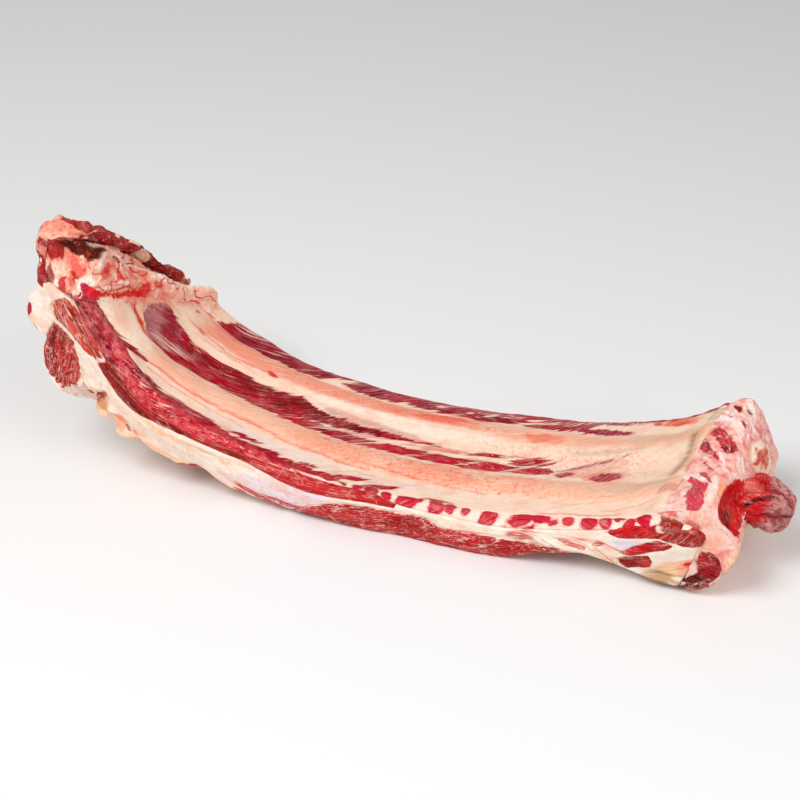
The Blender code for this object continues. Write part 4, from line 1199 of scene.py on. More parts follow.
def loin_paint(p, sigma, d, f):
    """Dusky brick-red meat with pale streaks running along it and painted shade in a notch under its left
    end.
    """
    ridges = grain(p, (22, 7, 2.4), 81, 3)
    fine = grain(p, (7, 4, 2), 82)
    notch = patch(sigma, d, (42, 34), (9, 4))
    seam = patch(sigma, d, (60, 19), (24, 3.6), 6)
    meat = stain(
        (214, 70, 48), ((158, 16, 12), 0.9 * ease(-0.1, 0.4, ridges)),
        ((230, 124, 84), 0.75 * ease(0.1, 0.7, fine - 0.4 * ridges)),
        # painted shade: brown-red in the notch
        (BROWN_RED, 0.8 * ease(0, 0.6, notch + 0.3 * fine)),
        (BROWN_RED, 0.7 * ease(0, 0.6, seam + 0.4 * fine)))
    pale = stain(CREAM, (FAT_PEACH, ease(-0.3, 0.5, ridges)))
    rim = patch(sigma, d, (54, 25), (30, 12), 4) * 9 + 0.4
    lean = np.minimum(rim + 1.2 * fine, 2.6 - 4.0 * ease(0.55, 0.85, ridges))
    fields = fields_of(rod_along(p, 4), lean, meat, pale, 0.26 + 0.2 * fine, 0.4, 0.7)
    return fields, 1.0 * ridges + 0.6 * fine


def flap_paint(p, sigma, d, f):
    """Dark brown-red meat hanging down, with grain along it, a cream right edge and a white tip."""
    lengthwise = turned(sigma, d, p[..., 1], 52)
    ridges = grain(lengthwise, (22, 4, 7), 83, 3)
    fine = grain(p, (3, 4, 3), 84)
    fold = patch(sigma, d, (54, 48), (9, 3), 60)
    meat = stain(
        (190, 44, 36), ((140, 18, 12), 0.85 * ease(-0.1, 0.4, ridges)),
        ((218, 104, 82), 0.6 * ease(0.1, 0.7, -ridges + 0.4 * fine)),
        # painted shade: dark brown along a fold
        (BROWN_DARK, 0.7 * ease(0, 0.5, fold + 0.4 * fine)),
        (BROWN_RED, 0.5 * ease(50, 62, d)))
    pale = stain(FAT_WHITE, (RUST, 0.4 * ease(0.1, 0.7, fine)))
    right = sigma - hermite(FLAP_EDGE, d)
    lean = np.minimum(-right * 0.8 - 2.2 + 2.0 * fine, 71.5 - d + 2 * fine)
    lean = np.minimum(lean, 3.0 - 3.2 * ease(0.6, 0.9, -ridges))
    lean = np.where(f > 0.34, -1 + 2 * fine, lean)
    return fields_of(lengthwise, lean, meat, pale, 0.22 + 0.2 * fine, 0.4, 0.7), 1.2 * ridges + 0.5 * fine


def chine_fat_paint(p, sigma, d, f):
    """Cream backing of the loin end; its lobe hangs down at the left with a dark red lower edge."""
    mottle = grain(p, (9, 9, 7), 85)
    fine = grain(p, (3.5, 4, 3), 86)
    pale = stain(
        FAT_WHITE, (CREAM, 0.8 * ease(0.0, 0.6, mottle)),
        (FAT_PEACH, 0.7 * ease(48, 60, d + 3 * mottle) * ease(46, 36, sigma)),
        (FAT_PEACH, 0.7 * ease(66, 80, sigma) * ease(0, 0.6, mottle + 0.2)))
    lobe = ((29, 56, 6.4, 3.6, 40), (37, 60, 6, 1.6, 0), (46, 58.5, 4, 1.4, 0))
    lean = spots(-5 + 0 * sigma, sigma, d, 0.9 * fine, lobe)
    meat = stain((168, 26, 22), (BROWN_RED, ease(0, 0.5, mottle)))
    patches = grain(p, (20, 14, 12), 87, 2)
    lean = np.maximum(lean, np.where(f > 0.12, 3 * ease(0.35, 0.7, patches) - 1.2, -5))
    sunk = ease(-0.3, 1.5, np.maximum(area(sigma, d, LOIN_MUSCLE), area(sigma, d, LOIN_FLAP)))
    height = 1.0 * mottle + 0.4 * fine - 3.4 * sunk * ease(0.08, 0.03, f) - 0.6 * ease(66, 74, sigma)
    return fields_of(rod_along(p, 20), lean, meat, pale, 0.3 + 0.2 * fine, 0.35, 0.45), height


# the backbone end unrolled over its near top edge: first number across (negative down the cut), then sigma
RECESS = ((-19, -13), (-13, -16), (-5, -18), (5, -17), (20, -17), (25, -14), (26, -10), (15, -3), (4, 2),
          (-5, -2), (-12, -9))
WHITE_STEP = ((4, 8.5), (22, -9.5), (24, -8), (18, -1), (7, 9.5))
PALE_RIM = ((-34, -34), (-14, -33), (-6, -27), (3, -22), (10, -18), (2, -16), (-11, -13.5), (-28, -17),
            (-40, -12), (-40, -30))
CHINE_AREAS = (
    (((-28, -14), (-22, -17), (-16, -18), (-10, -15), (-12, -9), (-14, -3), (-20, 1), (-24, -2),
     (-32, -1)), (168, 30, 34), 1.0),
    (((-18, -15), (-11, -14), (-13, -8), (-16, -1), (-19, 0), (-18, -8)), BROWN_RED, 0.9),
    (((-30, 0), (-34, 4), (-40, 10), (-43, 17), (-36, 22), (-31, 10)), BROWN_RED, 0.9),
    (((-29, 2), (-24, 1), (-19, 1), (-15, 8), (-20, 12), (-27, 12)), CREAM, 0.7),
    (((-27, 11), (-22, 12), (-26, 23), (-31, 21)), (206, 14, 44), 0.95),
    (((-20, 13), (-16, 15), (-15, 23), (-19, 22)), RED_PINK, 0.55),
    (((-14, 1), (-7, -2), (-5, 8), (-8, 18), (-13, 11)), RED_PINK, 0.55),
    (((7, 5), (17, 5), (18, 14), (8, 18)), RED_PINK, 0.5),
    (((10, 8), (15, 7), (15, 12), (10, 12)), BLOOD, 0.7),
    (((39, 6), (46, 6), (48, 12), (40, 13)), RED_PINK, 0.6),
    (((56, 13), (62, 10), (68, 13), (66, 18), (59, 18)), BLOOD, 0.65),
    (((-16, 9), (-13, 9), (-12, 15), (-13, 20), (-15.5, 15)), (186, 22, 14), 1.0),
    (((-13.5, 16), (-10, 18), (-10, 31), (-14, 31)), FAT_WHITE, 1.0),
    (((-10, 17), (-5, 12), (0, 14), (3, 20), (2, 27), (-1, 30), (-4, 21), (-8, 22)), FAT_WHITE, 0.9),
    (((-10, 19), (-6, 20), (-1, 23), (2, 33), (-4, 38), (-13, 34)), (176, 24, 60), 1.0),
    # painted shadow: dark brown in the recess and a darker band under its rim
    (RECESS, (104, 16, 8), 1.0),
    (((-6, -15), (5, -14.5), (18, -15), (18, -12), (2, -11), (-5, -12)), (66, 44, 28), 0.8),
    (WHITE_STEP, FAT_WHITE, 1.0),
    (((54, 12), (56, 15), (53, 19), (49, 26), (42, 28.5), (36, 27), (28, 28), (20, 30), (6, 31),
     (-6, 29), (-8, 26), (4, 27), (18, 26.5), (28, 24), (36, 23), (44, 21), (49, 16)),
     (214, 10, 24), 1.0),
    (((22, 6), (30, 6), (33, 13), (26, 16), (21, 12)), (226, 60, 50), 0.6))
CHINE_LINES = (
    (((-6, 25), (3, 24), (10, 26), (20, 23), (34, 21), (41, 23), (48, 27)), 4.6, BLOOD, 0.95),
    (((8, 22), (20, 20), (40, 19), (60, 22)), 2.2, RED_PINK, 0.7),
    (((2, 31), (15, 28), (30, 26), (42, 27)), 1.8, RUST, 0.9))
RIDGE = ((-12, -21), (0, -20), (15, -18), (25, -15.5), (30, -11), (39, -4), (53, -2.5), (66, -1), (80, 2),
         (121, 6))
CHINE_TOP = ((-34, 5), (-28, -14), (-21, -13), (-17, -3), (-2, -7), (12, -8), (27, -2.5), (36, 1.5))


def unrolled(y, sigma, d):
    """Distance across the top of the backbone end, carried on down its near cut as negative numbers."""
    top = np.interp(sigma, *np.transpose(CHINE_TOP))
    return y - FRONT - np.maximum(d - top, 0) * ease(-46, -54, y)


def chine_bone_paint(p, sigma, d, f):
    """Pale pink bone and gristle in soft lumps with red veins, and the recess along its outer rim, darkened
    with painted shadow.
    """
    y = p[..., 1]
    over = unrolled(y, sigma, d)
    mottle = grain(p, (8, 8, 6), 91)
    fine = grain(p, (3.2, 3.2, 3), 92)
    cloud = grain(p, 22, 93)
    lumps = grain(p, (17, 15, 15), 94, 2)
    veins = np.abs(grain(p, (15, 13, 12), 98, 3))
    top = ease(5, 0, d) * ease(-63, -58, y)
    rosy = 0.6 - 0.35 * ease(50, 80, over)
    pale = stain(
        (250, 200, 176), ((248, 160, 140), ease(-0.3, 0.5, cloud + mottle)),
        ((238, 92, 76), rosy * ease(0.05, 0.5, 0.7 * mottle - 0.6 * lumps)),
        ((252, 210, 188), 0.75 * ease(62, 82, over)),
        # painted highlight: near-white on the lump tops
        ((255, 240, 224), 0.95 * ease(0.05, 0.45, lumps + 0.4 * fine)),
        ((224, 34, 22), 0.9 * ease(0.13, 0.02, veins) * ease(-30, -10, over)))
    pale = areas(pale, over, sigma, 1.6 * mottle + 1.2 * fine, CHINE_AREAS)
    pale = strokes(pale, over + 1.5 * fine, sigma + 1.6 * mottle, CHINE_LINES)
    drop = np.abs(over - hermite(((-2, 31), (8, 25.5), (16, 24.5)), sigma) + 0.6 * mottle)
    drop = drop + 9 * ease(14, 18, sigma) + 9 * ease(-1, -4, sigma)
    ring = np.hypot(over - 30.5, sigma + 2.8)
    ridge = sigma - hermite(RIDGE, over)
    line = ease(1.6, 0.4, np.abs(ridge - 1.4 + 0.6 * mottle)) * top * ease(10, 18, over)
    shade = ease(1.5, 0.4, np.abs(ridge + 0.6 + 0.6 * mottle)) * top * ease(18, 26, over)
    recess = area(over, sigma, RECESS) + 1.2 * mottle
    pale = stain(
        pale, (BLOOD, 0.9 * ease(1.4, 0.5, drop)),
        ((150, 24, 20), 0.95 * ease(1.4, 0.5, np.abs(ring - 2.4)) * top),
        (BROWN_DARK, 0.9 * shade),
        ((252, 226, 204), 0.9 * line),
        (RUST, 0.7 * ease(0.25, 0.6, fine + 0.4 * mottle) * ease(0, 2, recess)))
    height = 2.8 * lumps + 1.3 * mottle + 0.6 * fine - 0.6
    height = height - 1.2 * ease(0.12, 0.0, veins) * ease(-20, -5, over)
    height = height + (1.0 * line - 1.2 * shade) - 2.6 * ease(0, 3, recess)
    height = height + 1.0 * ease(1.6, 0, np.abs(recess + 1.5)) * top - 1.5 * ease(2.2, 1.0, ring) * top
    height = height + 1.3 * ease(-1.5, 0.5, area(over, sigma, WHITE_STEP))
    blush = 0.95 - 0.5 * ease(-1, 2, recess) - 0.3 * ease(50, 80, over)
    return fields_of(p * (6, 0.5, 0.5), -4 + 0 * y, pale, pale, 0.36 + 0.3 * fine, 0.35, blush), height


def chine_meat_paint(p, sigma, d, f):
    """Dark red meat lumps behind the backbone, pale pink above the near cut, with two ovals of fat."""
    s, y, depth = np.moveaxis(p, -1, 0)
    over = unrolled(y, sigma, d)
    mottle = grain(p, (8, 8, 8), 95)
    fine = grain(p, (3, 3, 3), 96)
    lumps = grain(p, (19, 19, 19), 97, 2)
    recess = area(over, sigma, RECESS) + 1.2 * mottle
    meat = stain(
        (162, 18, 14), ((104, 10, 8), ease(-0.1, 0.5, mottle - 0.5 * lumps)),
        # lighter red on the lump tops, partly random mottling and partly painted highlight
        ((200, 50, 40), 0.6 * ease(0.25, 0.8, mottle + 0.6 * lumps)),
        # painted shadow: brown-red in the recess
        ((124, 34, 20), 0.9 * ease(-1.5, 1, recess)))
    # the pale rim above the near cut, and the band of pale streaks that runs on from it
    lean = -(area(over, sigma, PALE_RIM) - 0.8 + 3.0 * mottle + 1.6 * fine) * 1.4
    lean = np.minimum(lean, 3.0 - 4.6 * ease(0.45, 0.8, fine + 0.5 * mottle))
    fat = np.maximum(patch(over, sigma, (69, -20), (7, 3.8), 10), patch(over, sigma, (60, -25), (3.4, 2.2)))
    fat = np.maximum(fat, patch(over, sigma, (38, -24), (2.2, 1.8))) * 4 + 0.5 * fine
    curve = np.abs(sigma + 24 + 0.3 * (over - 8)) + 9 * ease(14, 18, over) + 9 * ease(3, -1, over)
    pale = stain(
        (222, 138, 114), ((242, 198, 172), ease(-0.1, 0.5, mottle)),
        (RED_PINK, 0.6 * ease(0.1, 0.6, fine + 0.4 * mottle)),
        ((236, 204, 172), ease(-0.5, 0.4, fat)),
        # painted shade: a near-black rim round the raised ovals of fat
        (HOLE_SHADE, 0.6 * ease(0.7, 0.2, np.abs(fat + 0.4)) * ease(30, 40, over)),
        (FAT_PEACH, 0.8 * ease(1.6, 0.6, curve)))
    lean = np.where(fat > -0.5, np.minimum(lean, -fat * 2), lean)
    lean = lean - 4 * ease(1.6, 0.6, curve)
    lean = lean - 3 * ease(0.7, 0.95, np.abs(np.sin(over / 3.0 + 2 * mottle))) * ease(-10, -20, over)
    lean = np.where(recess > -1, np.maximum(lean, recess + 1), lean)
    lean = lean - 8 * ease(106, 114, over + 4 * mottle) * ease(0.9, 0.2, -lumps)
    height = 3.5 * lumps + (1.3 + 1.2 * ease(-14, -22, sigma)) * mottle + 0.4 * fine - 0.3
    height = height + 0.8 * ease(-1, 1, fat) + 1.6 * ease(90, 104, over) * lumps
    height = height - 3.0 * ease(3.5, 0.5, np.abs(over - 10)) * ease(-18, -24, sigma)
    along = turned(s, y, depth * 0.4, 35)
    return fields_of(along, lean, meat, pale, 0.16 + 0.2 * fine, 0.4, 0.55), height


def corner_paint(p, sigma, d, f):
    """Dark red meat at the lower near corner, pinker at its top."""
    mottle = grain(p, (6, 6, 5), 121)
    fine = grain(p, (3, 3, 3), 122)
    band = area(sigma, d, ((506, 58.5), (510.5, 54), (519.5, 52), (521.5, 62.5), (513.5, 65), (508, 63.5)))
    speck = np.maximum(patch(sigma, d, (509, 58.5), (1.4, 1.8)), patch(sigma, d, (514.5, 61.5), (1.6, 1.0)))
    meat = stain(
        (176, 22, 24), ((120, 8, 8), ease(-0.2, 0.4, mottle + 0.04 * (d - 50))),
        ((200, 70, 78), 0.6 * ease(0.2, 0.8, fine)),
        ((84, 14, 8), 0.95 * ease(-1, 1, band + mottle)),
        (FAT_WHITE, 0.9 * ease(0, 0.5, speck) * ease(0.1, 0.0, f)))
    lean = 3 - 4.5 * ease(0.6, 0.9, mottle)
    return (fields_of(rod_along(p, 60), lean, meat, FAT_WHITE, 0.08 + 0.2 * fine, 0.4, 0.35),
            0.9 * mottle + 0.5 * fine)


def ends():
    """Every piece that is one outline carried across: its finish, then its grid and its shape."""
    pieces = (
        ("breast_muscle_upper", BREAST_UPPER, strand_paint((206, 14, 16), (164, 28, 10), 508, -24, 0.12),
         dict(fibre=0.9, marbling=0.3, feather=0.3),
         dict(around=150, length=40, caps=12, corner=1.2, proud=0.5, grow=0.4)),
        ("breast_muscle_lower", BREAST_LOWER, strand_paint((200, 20, 20), (180, 22, 26), 500, 12, 0.22),
         dict(fibre=0.9, marbling=0.5, feather=0.3),
         dict(around=100, length=40, caps=10, corner=1.0, proud=0.5, grow=0.4)),
        ("breast_muscle_chunk", BREAST_CHUNK, strand_paint((150, 24, 20), (206, 60, 36), 494, -10, 0.28),
         dict(fibre=0.9, marbling=0.8, feather=0.3),
         dict(around=90, length=40, caps=10, corner=1.0, proud=0.5, grow=0.4)),
        ("loin_muscle", LOIN_MUSCLE, loin_paint, dict(fibre=1.0, marbling=0.7, feather=0.5, relief=0.9),
         dict(around=150, length=120, caps=20, round_off=0.02, grow=1.1, corner=1.6)),
        ("loin_flap", LOIN_FLAP, flap_paint, dict(fibre=1.0, marbling=0.6, feather=0.5, relief=0.9),
         dict(around=150, length=60, caps=24, stop=FLAP_STOP, round_off=0.04, grow=1.1, corner=1.8,
              proud=0.8)),
        ("chine_fat", CHINE_FAT, chine_fat_paint, dict(fibre=0.6, marbling=0.2, feather=0.3, soft=0.2),
         dict(around=190, length=120, caps=26, round_off=0.02, grow=0.3, corner=2.4)),
        ("chine_bone", CHINE_BONE, chine_bone_paint, dict(fibre=0.5, marbling=0.2, relief=0.9, gloss=0.12),
         dict(around=240, length=200, caps=34, knobs=2.6, round_off=0.02, grow=0.8, corner=1.8,
              far_corner=7.0)),
        ("chine_meat", CHINE_MEAT, chine_meat_paint, dict(fibre=0.6, marbling=0.2, relief=1.0, gloss=0.10),
         dict(around=220, length=200, caps=18, knobs=2.6, round_off=0.02, grow=0.5, corner=2.0,
              far_corner=4.0)))
    for name, outline, paint, finish, shape in pieces:
        rod(name, outline, paint, flesh(name, **finish), **shape)


# breast end: x and z of its outside at five places across, from the sole up to the top

END_ACROSS = (-64, -32, 0, 32, 66)
END_SECTIONS = (
    ((236, 4), (236, 0), (234, 0), (244, 0), (246, 0)),
    ((250, 11), (251, 3), (250, 2), (260, 4), (262, 5)),
    ((262, 28), (261, 19), (262, 20), (271, 22), (272, 20)),
    ((269, 48), (266, 38), (268, 40), (275, 45), (275, 44)),
    ((261, 59), (263, 56), (266, 60), (268, 64), (267, 64)),
    ((246, 70), (254, 72), (256, 76), (257, 82), (258, 83)),
    ((226, 76), (238, 82), (238, 85), (242, 90), (247, 93)))
DRY_CENTRE = (272, -5, 50)
DRY_SIZE = (23, 21, 18.5)
DRY_CREASE = ((-24, -9), (-20, -5.5), (-12.5, 0.8), (-2.3, 3.9), (5.5, 4.7), (12, 2))
# muscle on the sloping top, in x and y, and the crimson streaks beside it
STUMP_AREAS = (
    ((226, 27), (233, 31), (239, 24), (245, 16.5), (250, 11), (247, 6), (242, 3.4), (237, 9.6),
     (231, 19)),
    ((221, 14), (225, 20), (231, 9), (237, 0), (240.5, -3), (238.5, -8), (232, -1), (224, 7)),
    ((222, -21), (228, -18), (234, -22), (239, -30), (236, -37.5), (235, -43.5), (238, -48), (237, -55),
     (232, -60), (226, -60), (224, -51), (224, -41), (226, -35), (221, -26)),
    ((224, -1), (226, -3), (237, -16), (236, -18), (228, -9)),
    ((233, -5), (235, -6), (243, -11), (241, -12)),
    ((238, 60), (244, 55), (246, 50), (244, 44), (240, 50), (236, 55)),
    ((236, 44), (241, 44), (242, 40), (237, 40)),
    ((248, 38), (252, 37), (252, 33), (248, 34)),
    ((222, 36), (228, 40), (232, 48), (228, 52), (222, 44)))
# colours of the near cut, in x and z
END_NEAR = (
    (((203, 59), (211, 63.5), (220, 64.5), (227.5, 61.5), (237, 60.5), (243, 55), (240, 46), (235, 50),
     (230, 55), (218, 56), (205, 55)), (146, 48, 34), 0.95),
    (((225.6, 64.8), (230.8, 67.5), (237.3, 65.5), (240.5, 61.2), (233.3, 57.8), (228, 61)),
     (216, 96, 90), 0.9),
    (((208.8, 67), (213.7, 71), (220.4, 71), (222, 65.5), (215, 65)), (238, 104, 94), 0.95),
    (((204, 62), (209, 66), (215, 65), (211, 63)), (196, 130, 90), 0.8),
    (((250, 41), (256, 48), (263.5, 50), (260, 40), (257, 25), (252, 30)), (232, 110, 104), 0.75),
    (((240, 30), (250, 34), (250, 20), (244, 18)), (236, 128, 116), 0.6),
    (((228, 14), (240, 20), (250, 12), (246, 5), (230, 5)), (130, 16, 10), 0.9))


def end_section(knots, y):
    """One line of the breast end's outside across the rack, through its five places."""
    x, z = (hermite(np.c_[END_ACROSS, column], y) for column in np.transpose(knots))
    return np.stack([x, y, z], -1)


def brisket_paint(p):
    """The cut breast end: crimson cells between pale walls, gristle, a blood-red hollow, and fat below."""
    x, y, z = np.moveaxis(p, -1, 0)
    mottle = grain(p, 7, 101)
    fine = grain(p, 3, 102)
    cloud = grain(p, 24, 103)
    top = ease(56, 66, z) * ease(-63, -59, y)
    near = ease(-56, -60, y)
    # muscle in outlined places, crossed by slanting white walls of uneven width
    lying = turned(x + 0.6 * np.maximum(84 - z, 0), y, z * 0.4, -52)
    walls = grain(lying, (22, 4.2, 9), 27, 3)
    inside = np.max([area(x, y, corners) for corners in STUMP_AREAS], axis=0)
    lean = np.minimum(inside + 1.4 * mottle + 0.9 * fine, (0.42 - np.abs(walls + 0.1)) * 6 + 1.5)
    lean = np.where(top > 0.3, np.minimum(lean, 3 - 7 * ease(0.42, 0.6, walls)), -6)
    bruise = patch(x, y, (232, 6), (5, 4))
    meat = stain(
        (206, 22, 48), (CRIMSON_DEEP, 0.85 * ease(0.0, 0.5, mottle - 0.5 * walls)),
        ((220, 66, 84), 0.85 * ease(-14, -24, y) * top),
        (PURPLE_GREY, 0.7 * ease(0, 0.5, bruise + 0.4 * fine) * top),
        (BROWN_DARK, 0.8 * ease(0, 0.5, patch(x, y, (241.5, 53), (5.5, 5)))))
    column = patch(x, y, (240.5, -35), (4.6, 16))
    hole = patch(x, y, (251.5, 53), (3.0, 2.2)) * top
    # gristle of the breastbone at the far side, with a tan-red rough middle
    gristle = patch(y, z, (28, 66), (18, 13), -12)
    rough = patch(y, z, (27, 66), (14, 9), -12) + 0.4 * fine
    redness = 0.25 + 0.4 * ease(46, 58, z)
    pale = stain(
        (250, 206, 194), ((246, 156, 150), 0.85 * ease(-0.2, 0.5, mottle + 0.4 * walls)),
        ((232, 90, 92), redness * ease(0.05, 0.6, fine + 0.5 * cloud)),
        ((255, 244, 238), 0.9 * ease(0.35, 0.6, walls + 0.2 * fine)),
        ((255, 246, 238), 0.9 * ease(0, 0.5, patch(x, y, (221, -39), (3.4, 5))) * top),
        ((252, 226, 210), 0.9 * ease(0, 0.4, column) * top),
        # painted shade: near-black inside the hole
        (HOLE_SHADE, ease(0.0, 0.35, hole)),
        ((253, 232, 210), 0.95 * ease(-0.05, 0.25, gristle + 0.2 * mottle) * ease(246, 252, x)),
        ((226, 116, 86), 0.95 * ease(0.0, 0.4, rough) * ease(250, 256, x)),
        ((226, 130, 112), 0.6 * ease(0.2, 0.03, np.abs(gristle + 0.1 * fine)) * ease(248, 254, x)),
        (BRICK, 0.7 * ease(0.3, 0.6, rough + 0.5 * fine) * ease(254, 262, x)))
    # the hollow round the dried meat
    hollow = patch(y, z, (-34, 64.5), (26, 11), 8) - 2 * ease(-57, -61, y) - 2 * ease(247, 242, x)
    lean = np.maximum(lean, hollow * 12 + 1.2 * fine)
    wet = ease(-0.12, 0.2, hollow)
    blood = stain((206, 4, 2), ((224, 50, 24), 0.7 * ease(0.1, 0.6, mottle)))
    clot = patch(y, z, (-45, 64), (13, 6), 12) + 0.3 * mottle
    meat = stain(meat, (blood, wet), ((112, 12, 6), 0.85 * wet * ease(0.0, 0.5, clot)))
    # near cut: pink wedge, brown patch, red threads, the dark lower corner
    lip = patch(y, z, (-35, 76.5), (11, 2.4), 6)
    wedge = stain((250, 208, 194), ((246, 172, 152), ease(0, 0.6, cloud + 0.5 * mottle)))
    pale = stain(pale, ((240, 164, 110), 0.85 * ease(0, 0.4, lip) * ease(242, 246, x)), (wedge, near))
    pale = areas(pale, x, np.where(near > 0.3, z, -99), 0.9 * mottle + 0.7 * fine, END_NEAR)
    # the rest of the outside: fat with pink and red places
    outside = np.clip(ease(50, 40, z) * ease(255, 262, x) + (1 - near) * ease(20, 8, z), 0, 1)
    sigma, depth = np.transpose(CORNER_MEAT)
    rim = edge_near(depth)
    rim = place(skewed(sigma, rim, depth), rim, depth)
    corner = area(x, z, tuple(map(tuple, rim[:, (0, 2)]))) - 6 * (1 - near)
    pale = stain(pale, (FAT_PEACH, 0.8 * outside), ((150, 20, 18), 0.8 * ease(-1.0, 0.5, corner)))
    patches = grain(p, (15, 13, 12), 105, 2)
    patches = np.where(z < 45, 3.2 * ease(0.3, 0.7, patches) - 1.6 + fine, -5)
    lean = np.maximum(lean, patches - 5 * near - 5 * ease(-20, -36, y))
    height = 0.9 * mottle + 0.5 * fine + 0.9 * cloud + 0.9 * walls * top * ease(-2, 1, inside)
    height = height - 3.4 * ease(-0.5, 1.5, corner)
    height = height - 5.0 * ease(-0.05, 0.5, hollow) - 2.4 * ease(0, 0.5, hole)
    height = height + 1.6 * ease(0.0, 0.5, gristle) * ease(250, 258, x) + 1.3 * ease(0, 0.4, column) * top
    height = height + 1.3 * ease(0.25, 0.0, np.abs(hollow + 0.1)) * ease(243, 248, x)
    blush = 0.7 - 0.3 * near - 0.45 * wet
    veil = 0.30 + 0.3 * fine - 0.24 * wet
    return fields_of(turned(x, y, z * 0.4, -58), lean, meat, pale, veil, 0.3, blush), height


def brisket_end():
    """Rings across the rack: the left edge lies on the bent sheet, the outside goes through END_SECTIONS."""
    edge, depth = np.array([(506.0, -1.2), (506.5, 4)] + [(a + 0.3, b) for a, b in END_EDGE]).T
    f = np.linspace(0, 1, 150)[:, None]
    y = across(depth, f)
    left = place(skewed(edge, y, depth), y, depth)
    y = -62.0 * (1 - f[:, 0]) + 66.0 * f[:, 0]
    rings = np.concatenate([left, np.stack([end_section(knots, y) for knots in END_SECTIONS], 1)], 1)
    for _ in range(3):
        rings = cut_corners(rings, 1)
    rings = np.array([even(ring, 230) for ring in rings])
    grow = np.linspace(0.06, 1, 20)[:-1, None, None]
    first = rings[0].mean(0) + (rings[0] - rings[0].mean(0)) * grow
    last = rings[-1].mean(0) + (rings[-1] - rings[-1].mean(0)) * grow[::-1]
    points = np.concatenate([first, rings, last])
    fields, height = brisket_paint(points)
    corner = np.zeros((len(points), 1))
    corner[18:21] = 1
    corner[-21:-18] = 1
    height = height - 1.0 * corner - 0.6
    return skin("brisket_end", points + outward(points) * height[..., None], ("brisket_end",), fields,
                flesh("brisket_end", 0.8, 0.2, 0.3, relief=1.0, gloss=0.12))


def dried_meat():
    """The purple-brown bulge: a ball with sharp-edged folds that run out of the hollow over its side."""
    a = np.linspace(-1, 1, 190)[:, None] * 0.985 * math.pi / 2
    turn = np.linspace(0, 2 * math.pi, 260, endpoint=False)[None]
    unit = np.stack([np.cos(a) * np.cos(turn), np.cos(a) * np.sin(turn), np.sin(a) + 0 * turn], -1)
    knob = 1 + 0.06 * np.sin(3 * turn + 4 * a) + 0.05 * np.sin(5 * turn - 3 * a + 1)
    points = np.array(DRY_CENTRE) + unit * (np.array(DRY_SIZE) * knob[..., None])
    x, y, z = np.moveaxis(points, -1, 0)
    cloud = grain(points, 16, 111, 2)
    mottle = grain(points, 6, 112)
    fine = grain(points, 2.4, 113)
    # places on the side that shows: over to the right and up
    from_middle = points - np.array(DRY_CENTRE)
    over = from_middle[..., 0] * 0.951 + from_middle[..., 1] * 0.309
    up = from_middle[..., 0] * -0.177 + from_middle[..., 1] * 0.546 + from_middle[..., 2] * 0.819
    round_x = np.arctan2(z - 46, y + 8)
    fold = 1 - 2 * np.abs(np.sin(3.5 * round_x + 1.1 * cloud + 0.25 * mottle)) ** 0.7
    crease = np.abs(up - hermite(DRY_CREASE, over) + mottle)
    crease = ease(2.4, 0.5, crease + 9 * ease(8, 13, over) + 9 * ease(-22, -26, over))
    outer = ease(-4, 5, over + 3 * mottle - 0.3 * up)
    lump = ease(0, 0.6, patch(over, up, (-8, 12), (9, 6), -10))
    # painted highlight: pale grey on the fold ridges of the outer side; painted shade: dark red in the
    # creases between folds and the near-black crease line
    meat = stain(
        (200, 4, 4), ((224, 60, 44), 0.6 * ease(0.2, 0.8, mottle - 0.3 * fold)),
        ((156, 62, 62), outer),
        ((204, 150, 142), 0.9 * outer * ease(0.0, 0.6, 0.6 * fine - 0.5 * fold)),
        ((112, 12, 10), 0.9 * ease(0.3, 0.85, fold) * (1 - lump)),
        ((226, 110, 96), 0.7 * lump),
        ((64, 6, 6), 0.95 * crease))
    pale = stain((228, 150, 138), (RED_PINK, ease(0, 0.5, mottle)))
    lean = 3 - 6 * ease(0.55, 0.9, mottle + 0.2 * fine)
    height = -1.9 * fold * (1 - 0.7 * lump) + 1.2 * cloud + 0.7 * mottle + 0.4 * fine - 0.4
    dent = ease(0, 0.7, patch(over, up, (-9, -17), (13, 8), -14))
    height = height - 2.6 * crease + 1.2 * lump - 4.5 * dent
    along = np.stack([x, 18 * round_x, np.hypot(y + 8, z - 46)], -1)
    fields = fields_of(along, lean, meat, pale, 0.04 + 0.26 * outer + 0.1 * fine, 0.4, 0.25 + 0.4 * outer)
    return skin("brisket_meat", points + unit * height[..., None], ("brisket_meat",), fields,
                flesh("brisket_meat", 0.9, 0.2, 0.35, relief=1.0, gloss=0.12))


bone_side()
layers()
ends()
brisket_end()
dried_meat()
rod("brisket_corner_meat", CORNER_MEAT, corner_paint,
    flesh("brisket_corner_meat", 0.9, 0.5, 0.3, relief=1.0),
    around=110, length=40, caps=14, proud=0.6, corner=1.4, grow=0.8)


# floor, light and camera

FLOOR_HALF = 6.0
FLOOR_DROP = 0.0005
FLOOR_GREY = (0.86, 0.86, 0.86, 1)
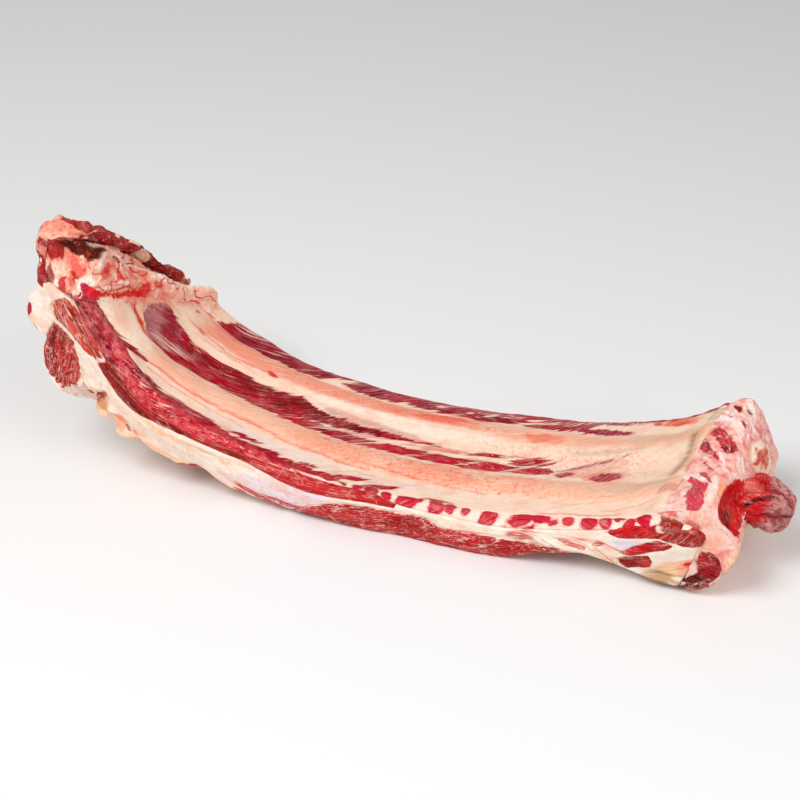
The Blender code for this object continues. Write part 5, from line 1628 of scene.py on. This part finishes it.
# lamps: place, width in metres, power
KEY = ((-0.5, -0.9, 1.5), 0.8, 21)
FILL = ((1.1, -0.5, 0.9), 0.8, 6)
LAMP_AIM = (0, 0, 0.05)
SKY = (1, 0.99, 0.98, 1)
SKY_STRENGTH = 0.42
# the photograph's view: degrees round and up, metres away, height looked at, lens and sensor in mm
VIEW_ROUND = 18
VIEW_UP = 35
VIEW_AWAY = 1.45
VIEW_HEIGHT = 0.0779
LENS = 88
SENSOR = 36


def added(name, data):
    obj = bpy.data.objects.new(name, data)
    bpy.context.scene.collection.objects.link(obj)
    return obj


def floor():
    mesh = bpy.data.meshes.new("floor")
    corners = [(FLOOR_HALF * a, FLOOR_HALF * b, -FLOOR_DROP)
               for a, b in ((-1, -1), (1, -1), (1, 1), (-1, 1))]
    mesh.from_pydata(corners, [], [(0, 1, 2, 3)])
    mat = bpy.data.materials.new("floor")
    mat.use_nodes = True
    wire(mat.node_tree, mat.node_tree.nodes["Principled BSDF"], {"Base Color": FLOOR_GREY, "Roughness": 0.7})
    mesh.materials.append(mat)
    added("floor", mesh)


def lamp(name, place_at, size, power):
    data = bpy.data.lights.new(name, "AREA")
    data.size = size
    data.energy = power
    obj = added(name, data)
    obj.location = place_at
    x, y, z = np.array(place_at, float) - np.array(LAMP_AIM, float)
    obj.rotation_euler = (math.atan2(math.hypot(x, y), z), 0, math.atan2(y, x) + math.pi / 2)


def studio():
    world = bpy.data.worlds.new("studio")
    world.use_nodes = True
    wire(world.node_tree, world.node_tree.nodes["Background"], {"Color": SKY, "Strength": SKY_STRENGTH})
    scene = bpy.context.scene
    scene.world = world
    scene.view_settings.view_transform = "Standard"
    lamp("key", *KEY)
    lamp("fill", *FILL)


def camera():
    a = math.radians(VIEW_ROUND)
    e = math.radians(VIEW_UP)
    data = bpy.data.cameras.new("camera")
    data.lens = LENS
    data.sensor_width = SENSOR
    obj = added("camera", data)
    back = np.array([math.sin(a) * math.cos(e), -math.cos(a) * math.cos(e), math.sin(e)])
    obj.location = np.array([0, 0, VIEW_HEIGHT]) + back * VIEW_AWAY
    obj.rotation_euler = (math.pi / 2 - e, 0, a)
    bpy.context.scene.camera = obj


floor()
studio()
camera()
